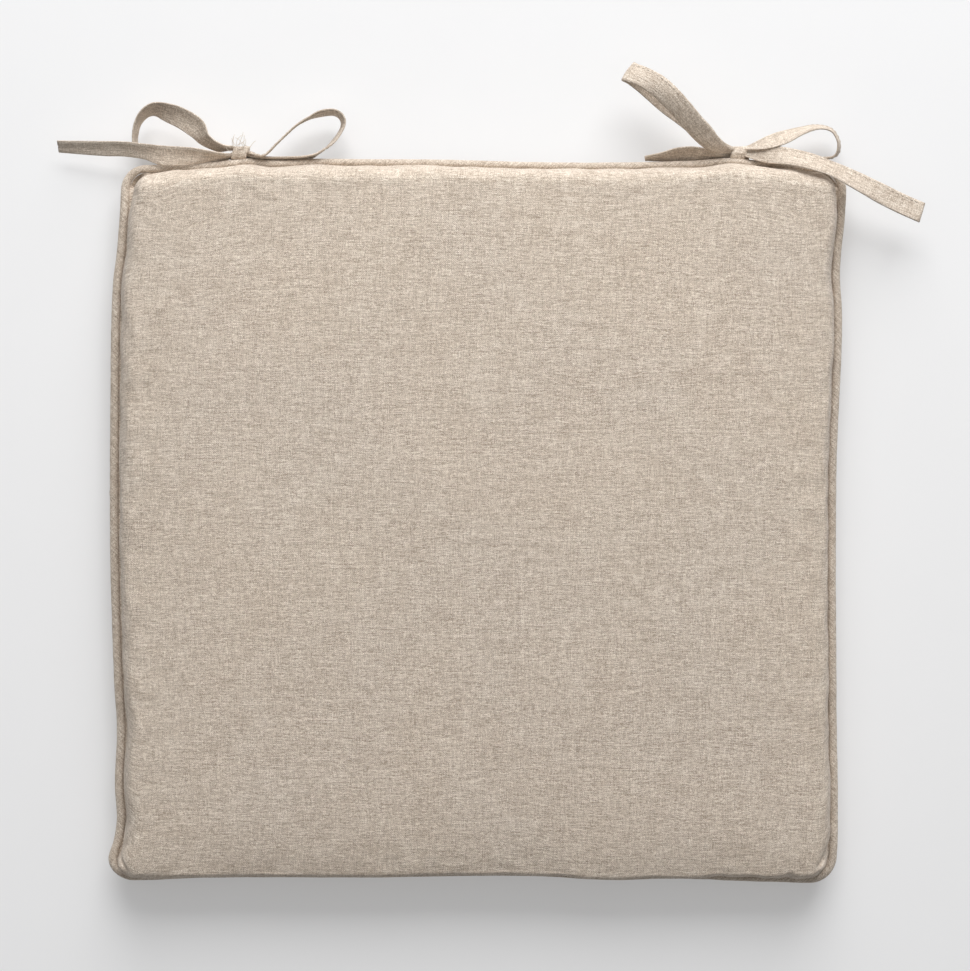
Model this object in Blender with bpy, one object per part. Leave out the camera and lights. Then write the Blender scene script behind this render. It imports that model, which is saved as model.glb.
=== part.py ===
"""Tie-on seat cushion: a foam pad in a piped linen cover, with a zip and two tied bows at the back.

Metres, +Z up. The origin is the middle of the underside, on the surface that the cushion lies on.
The front edge faces -Y. The zip and the ties are along the back edge, which faces +Y.
Every length below is a real one, and each layer is worked out from the ones outside it.
"""

import math

import bmesh
import bpy
from mathutils import Vector

# The pad, over its piping
WIDTH = 0.400
DEPTH = 0.396
THICKNESS = 0.035
CORNER_RADIUS = 0.014
LEAST_RADIUS = 0.003
CORNER_STEPS = 6

# The piped seam that runs all round the edge, and the padded edges above and below it
SEAM_HEIGHT = 0.0165
TOP_RUN = 0.010
TOP_FULLNESS = 2.8
BOTTOM_RUN = 0.007
BOTTOM_FULLNESS = 3.8
SHOULDER_STEPS = 8

# Clearances between pieces that touch
GAP = 0.0003

# Piping: a bias strip folded round a cord, with two flanges that go into the seam
PIPING_RADIUS = 0.0025
PIPING_STEPS = 10
STRIP_THICKNESS = 0.00045
FLANGE_SLIT = 0.0001
FLANGE_LENGTH = 0.0105
CORD_RADIUS = PIPING_RADIUS - STRIP_THICKNESS - GAP

# Cover, wadding and foam
CLOTH = 0.0010
SEAM_INSET = 2 * PIPING_RADIUS + GAP
RIM_ABOVE_FLANGE = FLANGE_SLIT + STRIP_THICKNESS + GAP
WADDING = 0.0035
WADDING_RIM = 0.0053
FOAM_INSET = 0.0145
FOAM_EDGE_RADIUS = 0.004
INNER_DEPTH = CLOTH + GAP + WADDING + GAP

# Zip: two tapes side by side in the back wall, below the piping
ZIP_MIDDLE = 0.008
ZIP_LENGTH = 0.240
ZIP_HEIGHT = 0.0085
ZIP_CHANNEL = 0.0012
ZIP_FACE = DEPTH / 2 - 0.0083
TAPE_THICKNESS = 0.0005
TAPE_END = 0.008
LOWER_TAPE_FOOT = 0.0030
UPPER_TAPE_TOP = 0.0150
COIL_WIDTH = 0.0019
COIL_THICKNESS = 0.0014
STOP_LENGTH = 0.0020
WINDOW_FOOT = 0.0040
WADDING_NOTCH = 0.0019

# Slider and pull
SLIDER_LENGTH = 0.009
SLIDER_WIDTH = 0.008
PLATE = 0.0010
INNER_PLATE = 0.0007
POST_WIDTH = 0.0006
POST_LENGTH = 0.0025
BRIDGE_LENGTH = 0.006
BRIDGE_WIDTH = 0.0016
BRIDGE_LEG = 0.0012
BRIDGE_OPENING = 0.0018
BRIDGE_TOP = 0.0008
PULL_LENGTH = 0.016
PULL_WIDTH = 0.005
PULL_THICKNESS = 0.0010
PULL_WINDOW = 0.0033
SLIDER_REST = ZIP_MIDDLE + ZIP_LENGTH / 2 - SLIDER_LENGTH / 2 - 0.0035

# Ties: folded linen strips, each pair sewn under the piping and tied in a bow
TIE_THICKNESS = 0.0012
TIE_HALF_WIDTH = 0.006
TIE_BASE_FOOT = 0.0122
KNOT_SIZE = Vector((0.010, 0.008, 0.010))
LEFT_KNOT = Vector((-0.1285, DEPTH / 2 + 0.0055, SEAM_HEIGHT))
RIGHT_KNOT = Vector((0.1462, DEPTH / 2 + 0.0055, SEAM_HEIGHT))
STATION_STEPS = 2

# Care label: a blank folded tape in the back seam
LABEL_SIZE = Vector((0.018, 0.0003, 0.0108))
LABEL_CENTRE = Vector((0.172, DEPTH / 2 - 0.00485, 0.0092))

# Each strip of a bow runs through stations, measured from the middle of its knot: the strip's
# centre, and half of its width as a vector that points to its upper edge. The strips are pinched
# where they enter the knot.
LEFT_LONG_TAIL = [
    ((-0.0053, -0.0020, 0.0022), (0.0000, 0.0004, 0.0022)),
    ((-0.0140, -0.0020, 0.0060), (0.0000, 0.0017, 0.0049)),
    ((-0.0277, -0.0034, 0.0082), (0.0000, 0.0037, 0.0047)),
    ((-0.0412, -0.0026, 0.0072), (0.0000, 0.0050, 0.0032)),
    ((-0.0523, -0.0002, 0.0047), (0.0000, 0.0039, 0.0045)),
    ((-0.0662, 0.0013, 0.0027), (0.0000, 0.0032, 0.0051)),
    ((-0.0830, 0.0020, 0.0000), (0.0000, 0.0028, 0.0053)),
    ((-0.1010, 0.0027, -0.0025), (0.0000, 0.0020, 0.0056)),
]
LEFT_OUTER_LOOP = [
    ((-0.0053, 0.0020, 0.0015), (0.0000, 0.0008, 0.0024)),
    ((-0.0117, 0.0018, 0.0025), (0.0016, 0.0014, 0.0042)),
    ((-0.0192, 0.0060, 0.0022), (0.0033, 0.0008, 0.0049)),
    ((-0.0242, 0.0122, 0.0017), (0.0038, 0.0037, 0.0026)),
    ((-0.0320, 0.0172, 0.0012), (0.0024, 0.0046, 0.0030)),
    ((-0.0397, 0.0202, 0.0005), (0.0015, 0.0044, 0.0038)),
    ((-0.0468, 0.0220, -0.0005), (0.0003, 0.0036, 0.0048)),
    ((-0.0525, 0.0200, -0.0020), (-0.0017, 0.0022, 0.0053)),
    ((-0.0565, 0.0152, -0.0035), (-0.0017, 0.0009, 0.0057)),
    ((-0.0582, 0.0092, -0.0050), (-0.0014, 0.0002, 0.0058)),
    ((-0.0580, 0.0045, -0.0062), (-0.0012, -0.0003, 0.0059)),
    ((-0.0557, 0.0008, -0.0070), (-0.0008, -0.0008, 0.0059)),
    ((-0.0493, -0.0015, -0.0080), (0.0000, -0.0006, 0.0059)),
    ((-0.0392, -0.0018, -0.0082), (0.0000, 0.0000, 0.0060)),
    ((-0.0228, -0.0018, -0.0075), (0.0000, 0.0000, 0.0059)),
    ((-0.0105, -0.0018, -0.0045), (0.0000, 0.0000, 0.0038)),
    ((-0.0053, -0.0012, -0.0033), (0.0000, 0.0000, 0.0016)),
]
LEFT_INNER_LOOP = [
    ((0.0053, 0.0010, 0.0020), (0.0000, 0.0002, 0.0023)),
    ((0.0133, -0.0010, 0.0020), (0.0002, 0.0003, 0.0056)),
    ((0.0212, 0.0037, 0.0020), (-0.0008, 0.0005, 0.0059)),
    ((0.0298, 0.0120, 0.0015), (-0.0007, 0.0007, 0.0059)),
    ((0.0382, 0.0172, 0.0005), (-0.0006, 0.0010, 0.0059)),
    ((0.0465, 0.0204, -0.0005), (-0.0002, 0.0014, 0.0058)),
    ((0.0530, 0.0192, -0.0015), (0.0008, 0.0012, 0.0058)),
    ((0.0563, 0.0148, -0.0020), (0.0013, 0.0004, 0.0058)),
    ((0.0538, 0.0090, -0.0015), (0.0012, -0.0006, 0.0058)),
    ((0.0480, 0.0026, 0.0010), (0.0008, -0.0008, 0.0058)),
    ((0.0392, -0.0015, 0.0012), (0.0003, -0.0003, 0.0058)),
    ((0.0247, -0.0036, 0.0015), (0.0000, 0.0000, 0.0054)),
    ((0.0123, -0.0036, 0.0005), (0.0000, 0.0000, 0.0040)),
    ((0.0053, -0.0020, -0.0015), (0.0000, 0.0000, 0.0025)),
]
LEFT_SHORT_TAIL = [
    ((-0.0053, -0.0034, -0.0033), (0.0000, 0.0000, 0.0016)),
    ((-0.0115, -0.0050, -0.0075), (0.0000, 0.0000, 0.0048)),
    ((-0.0195, -0.0062, -0.0093), (0.0000, 0.0000, 0.0058)),
    ((-0.0335, -0.0065, -0.0095), (0.0000, 0.0000, 0.0060)),
    ((-0.0475, -0.0063, -0.0095), (0.0000, 0.0000, 0.0060)),
]
RIGHT_INNER_LOOP = [
    ((-0.0053, 0.0013, 0.0033), (0.0010, 0.0018, 0.0010)),
    ((-0.0138, 0.0020, 0.0080), (0.0020, 0.0026, 0.0024)),
    ((-0.0233, 0.0096, 0.0135), (0.0036, 0.0039, 0.0022)),
    ((-0.0333, 0.0203, 0.0180), (0.0042, 0.0042, 0.0006)),
    ((-0.0440, 0.0306, 0.0205), (0.0040, 0.0045, 0.0000)),
    ((-0.0535, 0.0366, 0.0210), (0.0037, 0.0047, 0.0000)),
    ((-0.0598, 0.0393, 0.0195), (0.0036, 0.0048, 0.0000)),
    ((-0.0622, 0.0402, 0.0160), (0.0036, 0.0048, 0.0000)),
    ((-0.0605, 0.0388, 0.0125), (0.0036, 0.0048, 0.0000)),
    ((-0.0540, 0.0328, 0.0100), (0.0035, 0.0049, 0.0000)),
    ((-0.0422, 0.0230, 0.0080), (0.0035, 0.0049, 0.0003)),
    ((-0.0312, 0.0158, 0.0065), (0.0033, 0.0047, 0.0012)),
    ((-0.0203, 0.0083, 0.0042), (0.0024, 0.0042, 0.0022)),
    ((-0.0112, 0.0022, 0.0022), (0.0010, 0.0024, 0.0018)),
    ((-0.0053, 0.0000, -0.0002), (0.0003, 0.0008, 0.0014)),
]
RIGHT_OUTER_LOOP = [
    ((0.0053, 0.0020, 0.0022), (0.0000, 0.0008, 0.0022)),
    ((0.0140, 0.0028, 0.0050), (0.0008, 0.0028, 0.0040)),
    ((0.0238, 0.0052, 0.0055), (0.0009, 0.0029, 0.0049)),
    ((0.0348, 0.0098, 0.0040), (0.0005, 0.0022, 0.0054)),
    ((0.0468, 0.0115, 0.0015), (0.0001, 0.0014, 0.0058)),
    ((0.0527, 0.0082, 0.0000), (0.0011, 0.0006, 0.0058)),
    ((0.0550, 0.0017, -0.0015), (0.0009, 0.0000, 0.0059)),
    ((0.0535, -0.0020, -0.0030), (0.0006, -0.0004, 0.0059)),
    ((0.0477, -0.0036, -0.0042), (0.0000, -0.0002, 0.0059)),
    ((0.0335, -0.0033, -0.0038), (0.0000, 0.0000, 0.0058)),
    ((0.0195, -0.0024, -0.0025), (0.0000, 0.0000, 0.0046)),
    ((0.0053, -0.0010, -0.0025), (0.0000, 0.0000, 0.0022)),
]
RIGHT_LONG_TAIL = [
    ((0.0053, -0.0018, 0.0035), (0.0000, 0.0013, 0.0012)),
    ((0.0161, -0.0027, 0.0105), (0.0006, 0.0025, 0.0018)),
    ((0.0269, -0.0050, 0.0155), (0.0010, 0.0036, 0.0018)),
    ((0.0392, -0.0087, 0.0200), (0.0016, 0.0048, 0.0012)),
    ((0.0498, -0.0131, 0.0225), (0.0022, 0.0052, 0.0008)),
    ((0.0622, -0.0193, 0.0220), (0.0026, 0.0053, 0.0003)),
    ((0.0753, -0.0260, 0.0190), (0.0028, 0.0053, -0.0002)),
    ((0.0879, -0.0315, 0.0150), (0.0026, 0.0054, 0.0000)),
    ((0.0992, -0.0358, 0.0110), (0.0023, 0.0055, 0.0000)),
]
RIGHT_SHORT_TAIL = [
    ((-0.0053, -0.0025, -0.0030), (0.0000, 0.0002, 0.0014)),
    ((-0.0137, -0.0033, -0.0016), (0.0000, 0.0005, 0.0034)),
    ((-0.0258, -0.0024, 0.0010), (0.0000, 0.0016, 0.0053)),
    ((-0.0390, -0.0033, 0.0008), (0.0000, 0.0010, 0.0055)),
    ((-0.0517, -0.0037, 0.0002), (0.0000, 0.0004, 0.0052)),
]


def material(name, colour, roughness, metallic=0.0):
    """A plain Principled BSDF material."""
    made = bpy.data.materials.new(name)
    made.use_nodes = True
    shader = made.node_tree.nodes["Principled BSDF"]
    shader.inputs["Base Color"].default_value = (*colour, 1.0)
    shader.inputs["Roughness"].default_value = roughness
    shader.inputs["Metallic"].default_value = metallic
    return made


def clear_scene():
    for obj in list(bpy.data.objects):
        bpy.data.objects.remove(obj)


def add_object(name, bm, made_of):
    """Puts the finished mesh into the scene as one named object, with its faces pointing out."""
    bmesh.ops.recalc_face_normals(bm, faces=bm.faces)
    mesh = bpy.data.meshes.new(name)
    bm.to_mesh(mesh)
    bm.free()
    mesh.materials.append(made_of)
    obj = bpy.data.objects.new(name, mesh)
    bpy.context.scene.collection.objects.link(obj)
    return obj


def loft(name, rings, made_of, closed=False):
    """A solid skinned over rings. Its two ends are capped, or joined to each other when closed."""
    bm = bmesh.new()
    rows = [[bm.verts.new(point) for point in ring] for ring in rings]
    count = len(rows[0])
    following = rows[1:] + rows[:1] if closed else rows[1:]
    for row, following_row in zip(rows, following):
        for i in range(count):
            j = (i + 1) % count
            bm.faces.new((row[i], row[j], following_row[j], following_row[i]))
    if not closed:
        bm.faces.new(rows[0])
        bm.faces.new(rows[-1])
    return add_object(name, bm, made_of)


def add_box(bm, low, high):
    """Adds a box between two corners to the mesh."""
    centre = (Vector(low) + Vector(high)) / 2
    size = Vector(high) - Vector(low)
    corners = bmesh.ops.create_cube(bm, size=1.0)["verts"]
    for vert in corners:
        vert.co = centre + Vector(a * b for a, b in zip(vert.co, size))


def box(name, low, high, made_of):
    bm = bmesh.new()
    add_box(bm, low, high)
    return add_object(name, bm, made_of)


def cut_away(obj, low, high):
    """Takes a box out of the object."""
    cutter = box(f"{obj.name}_cutter", low, high, obj.data.materials[0])
    cutter.hide_render = True
    cutter.display_type = "WIRE"
    boolean = obj.modifiers.new("cut", "BOOLEAN")
    boolean.object = cutter


def round_edges(obj, radius, segments):
    bevel = obj.modifiers.new("rounded", "BEVEL")
    bevel.width = radius
    bevel.segments = segments


def outline(inset, height):
    """The pad's rounded rectangle as a ring of points, inset from the outside of the piping."""
    radius = max(CORNER_RADIUS - inset, LEAST_RADIUS)
    reach_x = WIDTH / 2 - inset - radius
    reach_y = DEPTH / 2 - inset - radius
    ring = []
    for corner, (side_x, side_y) in enumerate(((1, 1), (-1, 1), (-1, -1), (1, -1))):
        for step in range(CORNER_STEPS + 1):
            angle = math.pi / 2 * (corner + step / CORNER_STEPS)
            x = side_x * reach_x + radius * math.cos(angle)
            y = side_y * reach_y + radius * math.sin(angle)
            ring.append(Vector((x, y, height)))
    return ring


def padded_face(side, depth, rim):
    """Rings of a padded face, from its flat out and over its edge to its rim.

    side is 1 above the seam and -1 below it, depth is how far the face lies under the cover's
    outside, and rim is how far from the seam's height it stops.
    """
    run, fullness = (TOP_RUN, TOP_FULLNESS) if side > 0 else (BOTTOM_RUN, BOTTOM_FULLNESS)
    rise = (THICKNESS - SEAM_HEIGHT if side > 0 else SEAM_HEIGHT) - depth
    start = math.asin((rim / rise) ** (fullness / 2))
    rings = []
    for step in range(SHOULDER_STEPS + 1):
        angle = math.pi / 2 + (start - math.pi / 2) * step / SHOULDER_STEPS
        inset = run * (1 - max(math.cos(angle), 0.0) ** (2 / fullness))
        height = rise * math.sin(angle) ** (2 / fullness)
        rings.append(outline(SEAM_INSET + depth + inset, SEAM_HEIGHT + side * height))
    return rings


def make_panel(name, side, linen):
    """One side of the cover, an open dish of cloth whose rim lies on the piping's flange."""
    outside = padded_face(side, 0.0, RIM_ABOVE_FLANGE)
    inside = padded_face(side, CLOTH, RIM_ABOVE_FLANGE)
    return loft(name, outside + inside[::-1], linen)


def make_wadding(name, side, fibre):
    """One half of the wadding, which holds half of the foam. The seam's flange goes between them."""
    outside = padded_face(side, CLOTH + GAP, WADDING_RIM)
    recess = (THICKNESS - SEAM_HEIGHT if side > 0 else SEAM_HEIGHT) - INNER_DEPTH + GAP
    inside = [
        outline(FOAM_INSET - GAP, SEAM_HEIGHT + side * height) for height in (WADDING_RIM, recess)
    ]
    return loft(name, outside + inside, fibre)


def make_foam(foam):
    """The foam slab, with rounded edges."""
    low, high = INNER_DEPTH, THICKNESS - INNER_DEPTH
    rings = []
    for edge, side in ((low, 1), (high, -1)):
        corner = []
        for angle in (0, 30, 60, 90):
            inset = FOAM_EDGE_RADIUS * (1 - math.sin(math.radians(angle)))
            height = FOAM_EDGE_RADIUS * (1 - math.cos(math.radians(angle)))
            corner.append(outline(FOAM_INSET + inset, edge + side * height))
        rings += corner if side > 0 else corner[::-1]
    return loft("foam_core", rings, foam)


def piping_ring(radius, angle):
    """The ring on the piping's round part at an angle, counted from the pad's inside over the top."""
    inset = PIPING_RADIUS + radius * math.cos(angle)
    return outline(inset, SEAM_HEIGHT + radius * math.sin(angle))


def make_piping_cover(linen):
    """The bias strip: round the cord, and back into the seam as two flanges."""
    flange_end = PIPING_RADIUS + FLANGE_LENGTH
    inner_radius = PIPING_RADIUS - STRIP_THICKNESS
    rings = []
    for radius, flange, turn in (
        (PIPING_RADIUS, FLANGE_SLIT + STRIP_THICKNESS, 1),
        (inner_radius, FLANGE_SLIT, -1),
    ):
        start = math.asin(flange / radius)
        sweep = [
            piping_ring(radius, start + (2 * math.pi - 2 * start) * step / PIPING_STEPS)
            for step in range(PIPING_STEPS + 1)
        ]
        upper = outline(flange_end, SEAM_HEIGHT + flange)
        lower = outline(flange_end, SEAM_HEIGHT - flange)
        rings += [upper, *sweep, lower][::turn]
    return loft("piping_cover", rings, linen, closed=True)


def make_piping_cord(cotton):
    sides = 8
    rings = [piping_ring(CORD_RADIUS, 2 * math.pi * side / sides) for side in range(sides)]
    return loft("piping_cord", rings, cotton, closed=True)


def zip_window(obj, end_margin, depth, foot):
    """Opens the back wall of a layer along the zip, to a depth behind the face of its tapes."""
    reach = ZIP_LENGTH / 2 + end_margin
    low = (ZIP_MIDDLE - reach, ZIP_FACE - depth, foot)
    high = (ZIP_MIDDLE + reach, DEPTH / 2, SEAM_HEIGHT)
    cut_away(obj, low, high)


def make_zip_tapes(tape):
    """The two tapes, with the slider's channel between them."""
    reach = ZIP_LENGTH / 2 + TAPE_END
    left, right = ZIP_MIDDLE - reach, ZIP_MIDDLE + reach
    for name, low, high in (
        ("zip_tape_lower", LOWER_TAPE_FOOT, ZIP_HEIGHT - ZIP_CHANNEL / 2),
        ("zip_tape_upper", ZIP_HEIGHT + ZIP_CHANNEL / 2, UPPER_TAPE_TOP),
    ):
        box(name, (left, ZIP_FACE - TAPE_THICKNESS, low), (right, ZIP_FACE, high), tape)


def make_zip_coils(nylon):
    """The two rows of teeth, each as the plain bar that its coil fills."""
    left = ZIP_MIDDLE - ZIP_LENGTH / 2 + STOP_LENGTH + GAP
    right = ZIP_MIDDLE + ZIP_LENGTH / 2 - STOP_LENGTH - GAP
    face = ZIP_FACE + GAP
    for name, side in (("zip_coil_lower", -1), ("zip_coil_upper", 1)):
        near = ZIP_HEIGHT + side * ZIP_CHANNEL / 2
        low, high = sorted((near, near + side * COIL_WIDTH))
        coil = box(name, (left, face, low), (right, face + COIL_THICKNESS, high), nylon)
        round_edges(coil, COIL_THICKNESS / 4, 1)


def make_zip_stops(steel):
    """A clamped stop at each end of the coils. The top stop is at the closed end, at +X."""
    reach = ZIP_CHANNEL / 2 + COIL_WIDTH
    face = ZIP_FACE + GAP
    for name, end in (("zip_bottom_stop", -1), ("zip_top_stop", 1)):
        outer = ZIP_MIDDLE + end * ZIP_LENGTH / 2
        left, right = sorted((outer, outer - end * STOP_LENGTH))
        low = (left, face, ZIP_HEIGHT - reach)
        high = (right, face + COIL_THICKNESS, ZIP_HEIGHT + reach)
        round_edges(box(name, low, high, steel), COIL_THICKNESS / 4, 2)


def slider_layers():
    """Where the slider's outer plate and its bridge start, going out along Y."""
    plate = ZIP_FACE + GAP + COIL_THICKNESS + GAP
    return plate, plate + PLATE


def make_zip_slider(steel):
    """Two plates joined by a post that runs in the channel, and a bridge that holds the pull."""
    plate, bridge = slider_layers()
    x, z = SLIDER_REST, ZIP_HEIGHT
    half_length, half_width = SLIDER_LENGTH / 2, SLIDER_WIDTH / 2
    inner = ZIP_FACE - TAPE_THICKNESS - GAP
    top = bridge + BRIDGE_OPENING
    half_bridge = BRIDGE_LENGTH / 2
    overlap = PLATE / 4
    parts = [
        ((half_length, half_width), plate, bridge, 0.0),
        ((half_length, half_width - PLATE / 2), inner - INNER_PLATE, inner, 0.0),
        ((POST_LENGTH / 2, POST_WIDTH / 2), inner - overlap, plate + overlap, 0.0),
        ((half_bridge, BRIDGE_WIDTH / 2), top, top + BRIDGE_TOP, 0.0),
    ]
    parts += [
        (
            (BRIDGE_LEG / 2, BRIDGE_WIDTH / 2),
            bridge - overlap,
            top + overlap,
            side * (half_bridge - BRIDGE_LEG / 2),
        )
        for side in (-1, 1)
    ]
    slider = None
    for (reach_x, reach_z), near, far, shift in parts:
        low = (x + shift - reach_x, near, z - reach_z)
        high = (x + shift + reach_x, far, z + reach_z)
        if slider is None:
            slider = box("zip_slider", low, high, steel)
            continue
        join_box(slider, low, high)
    return slider


def join_box(obj, low, high):
    """Joins a box to the object, as one body."""
    joined = box(f"{obj.name}_part", low, high, obj.data.materials[0])
    joined.hide_render = True
    joined.display_type = "WIRE"
    boolean = obj.modifiers.new("join", "BOOLEAN")
    boolean.operation = "UNION"
    boolean.object = joined


def make_zip_pull(steel):
    """A flat tab with a window. The bar beside the window lies under the slider's bridge."""
    _, bridge = slider_layers()
    axis_y = bridge + BRIDGE_OPENING / 2
    bar = PULL_THICKNESS / 2
    half_width = PULL_WIDTH / 2
    side_bar = PULL_THICKNESS
    bm = bmesh.new()
    edges_x = (bar, -bar, -bar - PULL_WINDOW, bar - PULL_LENGTH)
    edges_z = (-half_width, -half_width + side_bar, half_width - side_bar, half_width)
    layers = [
        [[bm.verts.new((x, y, z)) for z in edges_z] for x in edges_x] for y in (-bar, bar)
    ]
    window = (1, 1)
    for i in range(len(edges_x) - 1):
        for k in range(len(edges_z) - 1):
            if (i, k) == window:
                continue
            for layer in layers:
                bm.faces.new(
                    (layer[i][k], layer[i + 1][k], layer[i + 1][k + 1], layer[i][k + 1])
                )
    skin = [edge for edge in bm.edges if len(edge.link_faces) == 1]
    bmesh.ops.bridge_loops(bm, edges=window_edges(skin))
    bmesh.ops.bridge_loops(bm, edges=[edge for edge in skin if len(edge.link_faces) == 1])
    pull = add_object("zip_pull", bm, steel)
    pull.location = (SLIDER_REST, axis_y, ZIP_HEIGHT)
    return pull


def window_edges(edges):
    """The edges round the pull's window, which all lie within its side bars."""
    reach = PULL_WIDTH / 2 - PULL_THICKNESS / 2
    low, high = -PULL_THICKNESS - PULL_WINDOW, 0.0
    return [
        edge
        for edge in edges
        if all(abs(v.co.z) < reach and low < v.co.x < high for v in edge.verts)
    ]


def smooth(points, steps):
    """The points of a Catmull-Rom curve through the given points, steps to each stretch."""
    padded = [2 * points[0] - points[1], *points, 2 * points[-1] - points[-2]]
    curve = []
    for a, b, c, d in zip(padded, padded[1:], padded[2:], padded[3:]):
        for step in range(steps):
            t = step / steps
            curve.append(
                b
                + (c - a) * (t / 2)
                + (2 * a - 5 * b + 4 * c - d) * (t * t / 2)
                + (3 * b - a - 3 * c + d) * (t * t * t / 2)
            )
    return [*curve, points[-1]]


def strip_direction(centres, i):
    """The way a strip runs at one of its centres. It meets the side of its knot squarely."""
    ahead = centres[min(i + 1, len(centres) - 1)]
    behind = centres[max(i - 1, 0)]
    along = ahead - behind
    if abs(centres[i].x) < KNOT_SIZE.x / 2 + 2 * GAP:
        along = Vector((along.x, 0.0, 0.0))
    return along.normalized()


def make_strip(name, knot, stations, linen):
    """A flat strip of cloth swept through its stations."""
    centres = smooth([Vector(centre) for centre, _ in stations], STATION_STEPS)
    widths = smooth([Vector(half_width) for _, half_width in stations], STATION_STEPS)
    rings = []
    for i, (centre, width) in enumerate(zip(centres, widths)):
        along = strip_direction(centres, i)
        length = min(width.length, TIE_HALF_WIDTH)
        across = (width - along * width.dot(along)).normalized() * length
        out = along.cross(across).normalized() * (TIE_THICKNESS / 2)
        corners = (across + out, out - across, -across - out, across - out)
        rings.append([knot + centre + corner for corner in corners])
    return loft(name, rings, linen)


def make_tie_base(name, knot, linen, bottom_panel):
    """The sewn end of a pair of ties: out of the seam under the piping, as far as the knot."""
    low = (knot.x - TIE_HALF_WIDTH, DEPTH / 2 - 0.0110, TIE_BASE_FOOT)
    high = (
        knot.x + TIE_HALF_WIDTH,
        knot.y - KNOT_SIZE.y / 2 - GAP,
        TIE_BASE_FOOT + TIE_THICKNESS,
    )
    base = box(name, low, high, linen)
    slot_low = (low[0] - GAP, low[1] - 0.002, low[2] - GAP)
    slot_high = (high[0] + GAP, DEPTH / 2, SEAM_HEIGHT)
    cut_away(bottom_panel, slot_low, slot_high)
    return base


def make_knot(name, centre, linen):
    """The turn of cloth that binds a bow, with a flat back for the chair's post to bear on."""
    low, high = -KNOT_SIZE / 2, KNOT_SIZE / 2
    knot = box(name, low, high, linen)
    knot.location = centre
    round_edges(knot, KNOT_SIZE.y / 4, 2)
    return knot


def make_bows(linen, bottom_panel):
    for side, knot, strips in (
        (
            "left",
            LEFT_KNOT,
            {
                "outer_loop": LEFT_OUTER_LOOP,
                "inner_loop": LEFT_INNER_LOOP,
                "long_tail": LEFT_LONG_TAIL,
                "short_tail": LEFT_SHORT_TAIL,
            },
        ),
        (
            "right",
            RIGHT_KNOT,
            {
                "outer_loop": RIGHT_OUTER_LOOP,
                "inner_loop": RIGHT_INNER_LOOP,
                "long_tail": RIGHT_LONG_TAIL,
                "short_tail": RIGHT_SHORT_TAIL,
            },
        ),
    ):
        make_tie_base(f"{side}_tie_base", knot, linen, bottom_panel)
        make_knot(f"{side}_knot", knot, linen)
        for part, stations in strips.items():
            make_strip(f"{side}_{part}", knot, stations, linen)


def make_care_label(satin):
    half = LABEL_SIZE / 2
    return box("care_label", LABEL_CENTRE - half, LABEL_CENTRE + half, satin)


def main():
    clear_scene()
    linen = material("linen", (0.60, 0.51, 0.42), 0.9)
    fibre = material("polyester_wadding", (0.90, 0.90, 0.88), 0.95)
    foam = material("polyurethane_foam", (0.85, 0.82, 0.68), 0.9)
    cotton = material("cotton_cord", (0.86, 0.83, 0.76), 0.9)
    tape = material("zip_tape", (0.56, 0.48, 0.39), 0.85)
    nylon = material("zip_nylon", (0.52, 0.45, 0.37), 0.5)
    steel = material("zip_metal", (0.55, 0.53, 0.50), 0.35, metallic=1.0)
    satin = material("label_satin", (0.88, 0.87, 0.84), 0.5)

    make_panel("top_panel", 1, linen)
    bottom_panel = make_panel("bottom_panel", -1, linen)
    zip_window(bottom_panel, TAPE_END / 2, 0.0, WINDOW_FOOT)
    make_piping_cover(linen)
    make_piping_cord(cotton)
    make_foam(foam)
    make_wadding("wadding_top", 1, fibre)
    wadding_bottom = make_wadding("wadding_bottom", -1, fibre)
    zip_window(wadding_bottom, TAPE_END + GAP, WADDING_NOTCH, LOWER_TAPE_FOOT - GAP)
    make_zip_tapes(tape)
    make_zip_coils(nylon)
    make_zip_stops(steel)
    make_zip_slider(steel)
    make_zip_pull(steel)
    make_bows(linen, bottom_panel)
    make_care_label(satin)


main()
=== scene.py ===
"""The looks of the tie-on seat cushion: its linen cover, piping, bows, zip and filling.

Metres, +Z up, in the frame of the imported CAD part: the origin is the middle of the underside, and
the zip and the ties are along the back edge, which faces +Y.
"""

import math

import bmesh
import bpy
import numpy as np
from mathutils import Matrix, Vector, noise


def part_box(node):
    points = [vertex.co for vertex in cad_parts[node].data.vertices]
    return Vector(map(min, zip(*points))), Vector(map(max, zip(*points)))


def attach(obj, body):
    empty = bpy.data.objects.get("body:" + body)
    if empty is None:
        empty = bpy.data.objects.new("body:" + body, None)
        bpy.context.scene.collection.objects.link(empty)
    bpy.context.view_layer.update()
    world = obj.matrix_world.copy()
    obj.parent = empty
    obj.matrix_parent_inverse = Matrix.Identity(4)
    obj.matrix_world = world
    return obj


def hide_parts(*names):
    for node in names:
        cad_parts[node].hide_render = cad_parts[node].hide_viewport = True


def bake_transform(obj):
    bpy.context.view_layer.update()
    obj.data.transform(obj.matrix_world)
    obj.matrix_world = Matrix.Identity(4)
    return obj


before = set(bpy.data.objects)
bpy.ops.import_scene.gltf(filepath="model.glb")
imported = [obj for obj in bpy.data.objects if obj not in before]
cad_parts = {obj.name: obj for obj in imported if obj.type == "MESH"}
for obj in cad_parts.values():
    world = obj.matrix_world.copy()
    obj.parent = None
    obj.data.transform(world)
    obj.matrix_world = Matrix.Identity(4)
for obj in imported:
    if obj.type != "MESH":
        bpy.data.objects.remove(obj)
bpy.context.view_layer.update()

MM = 0.001

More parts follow.
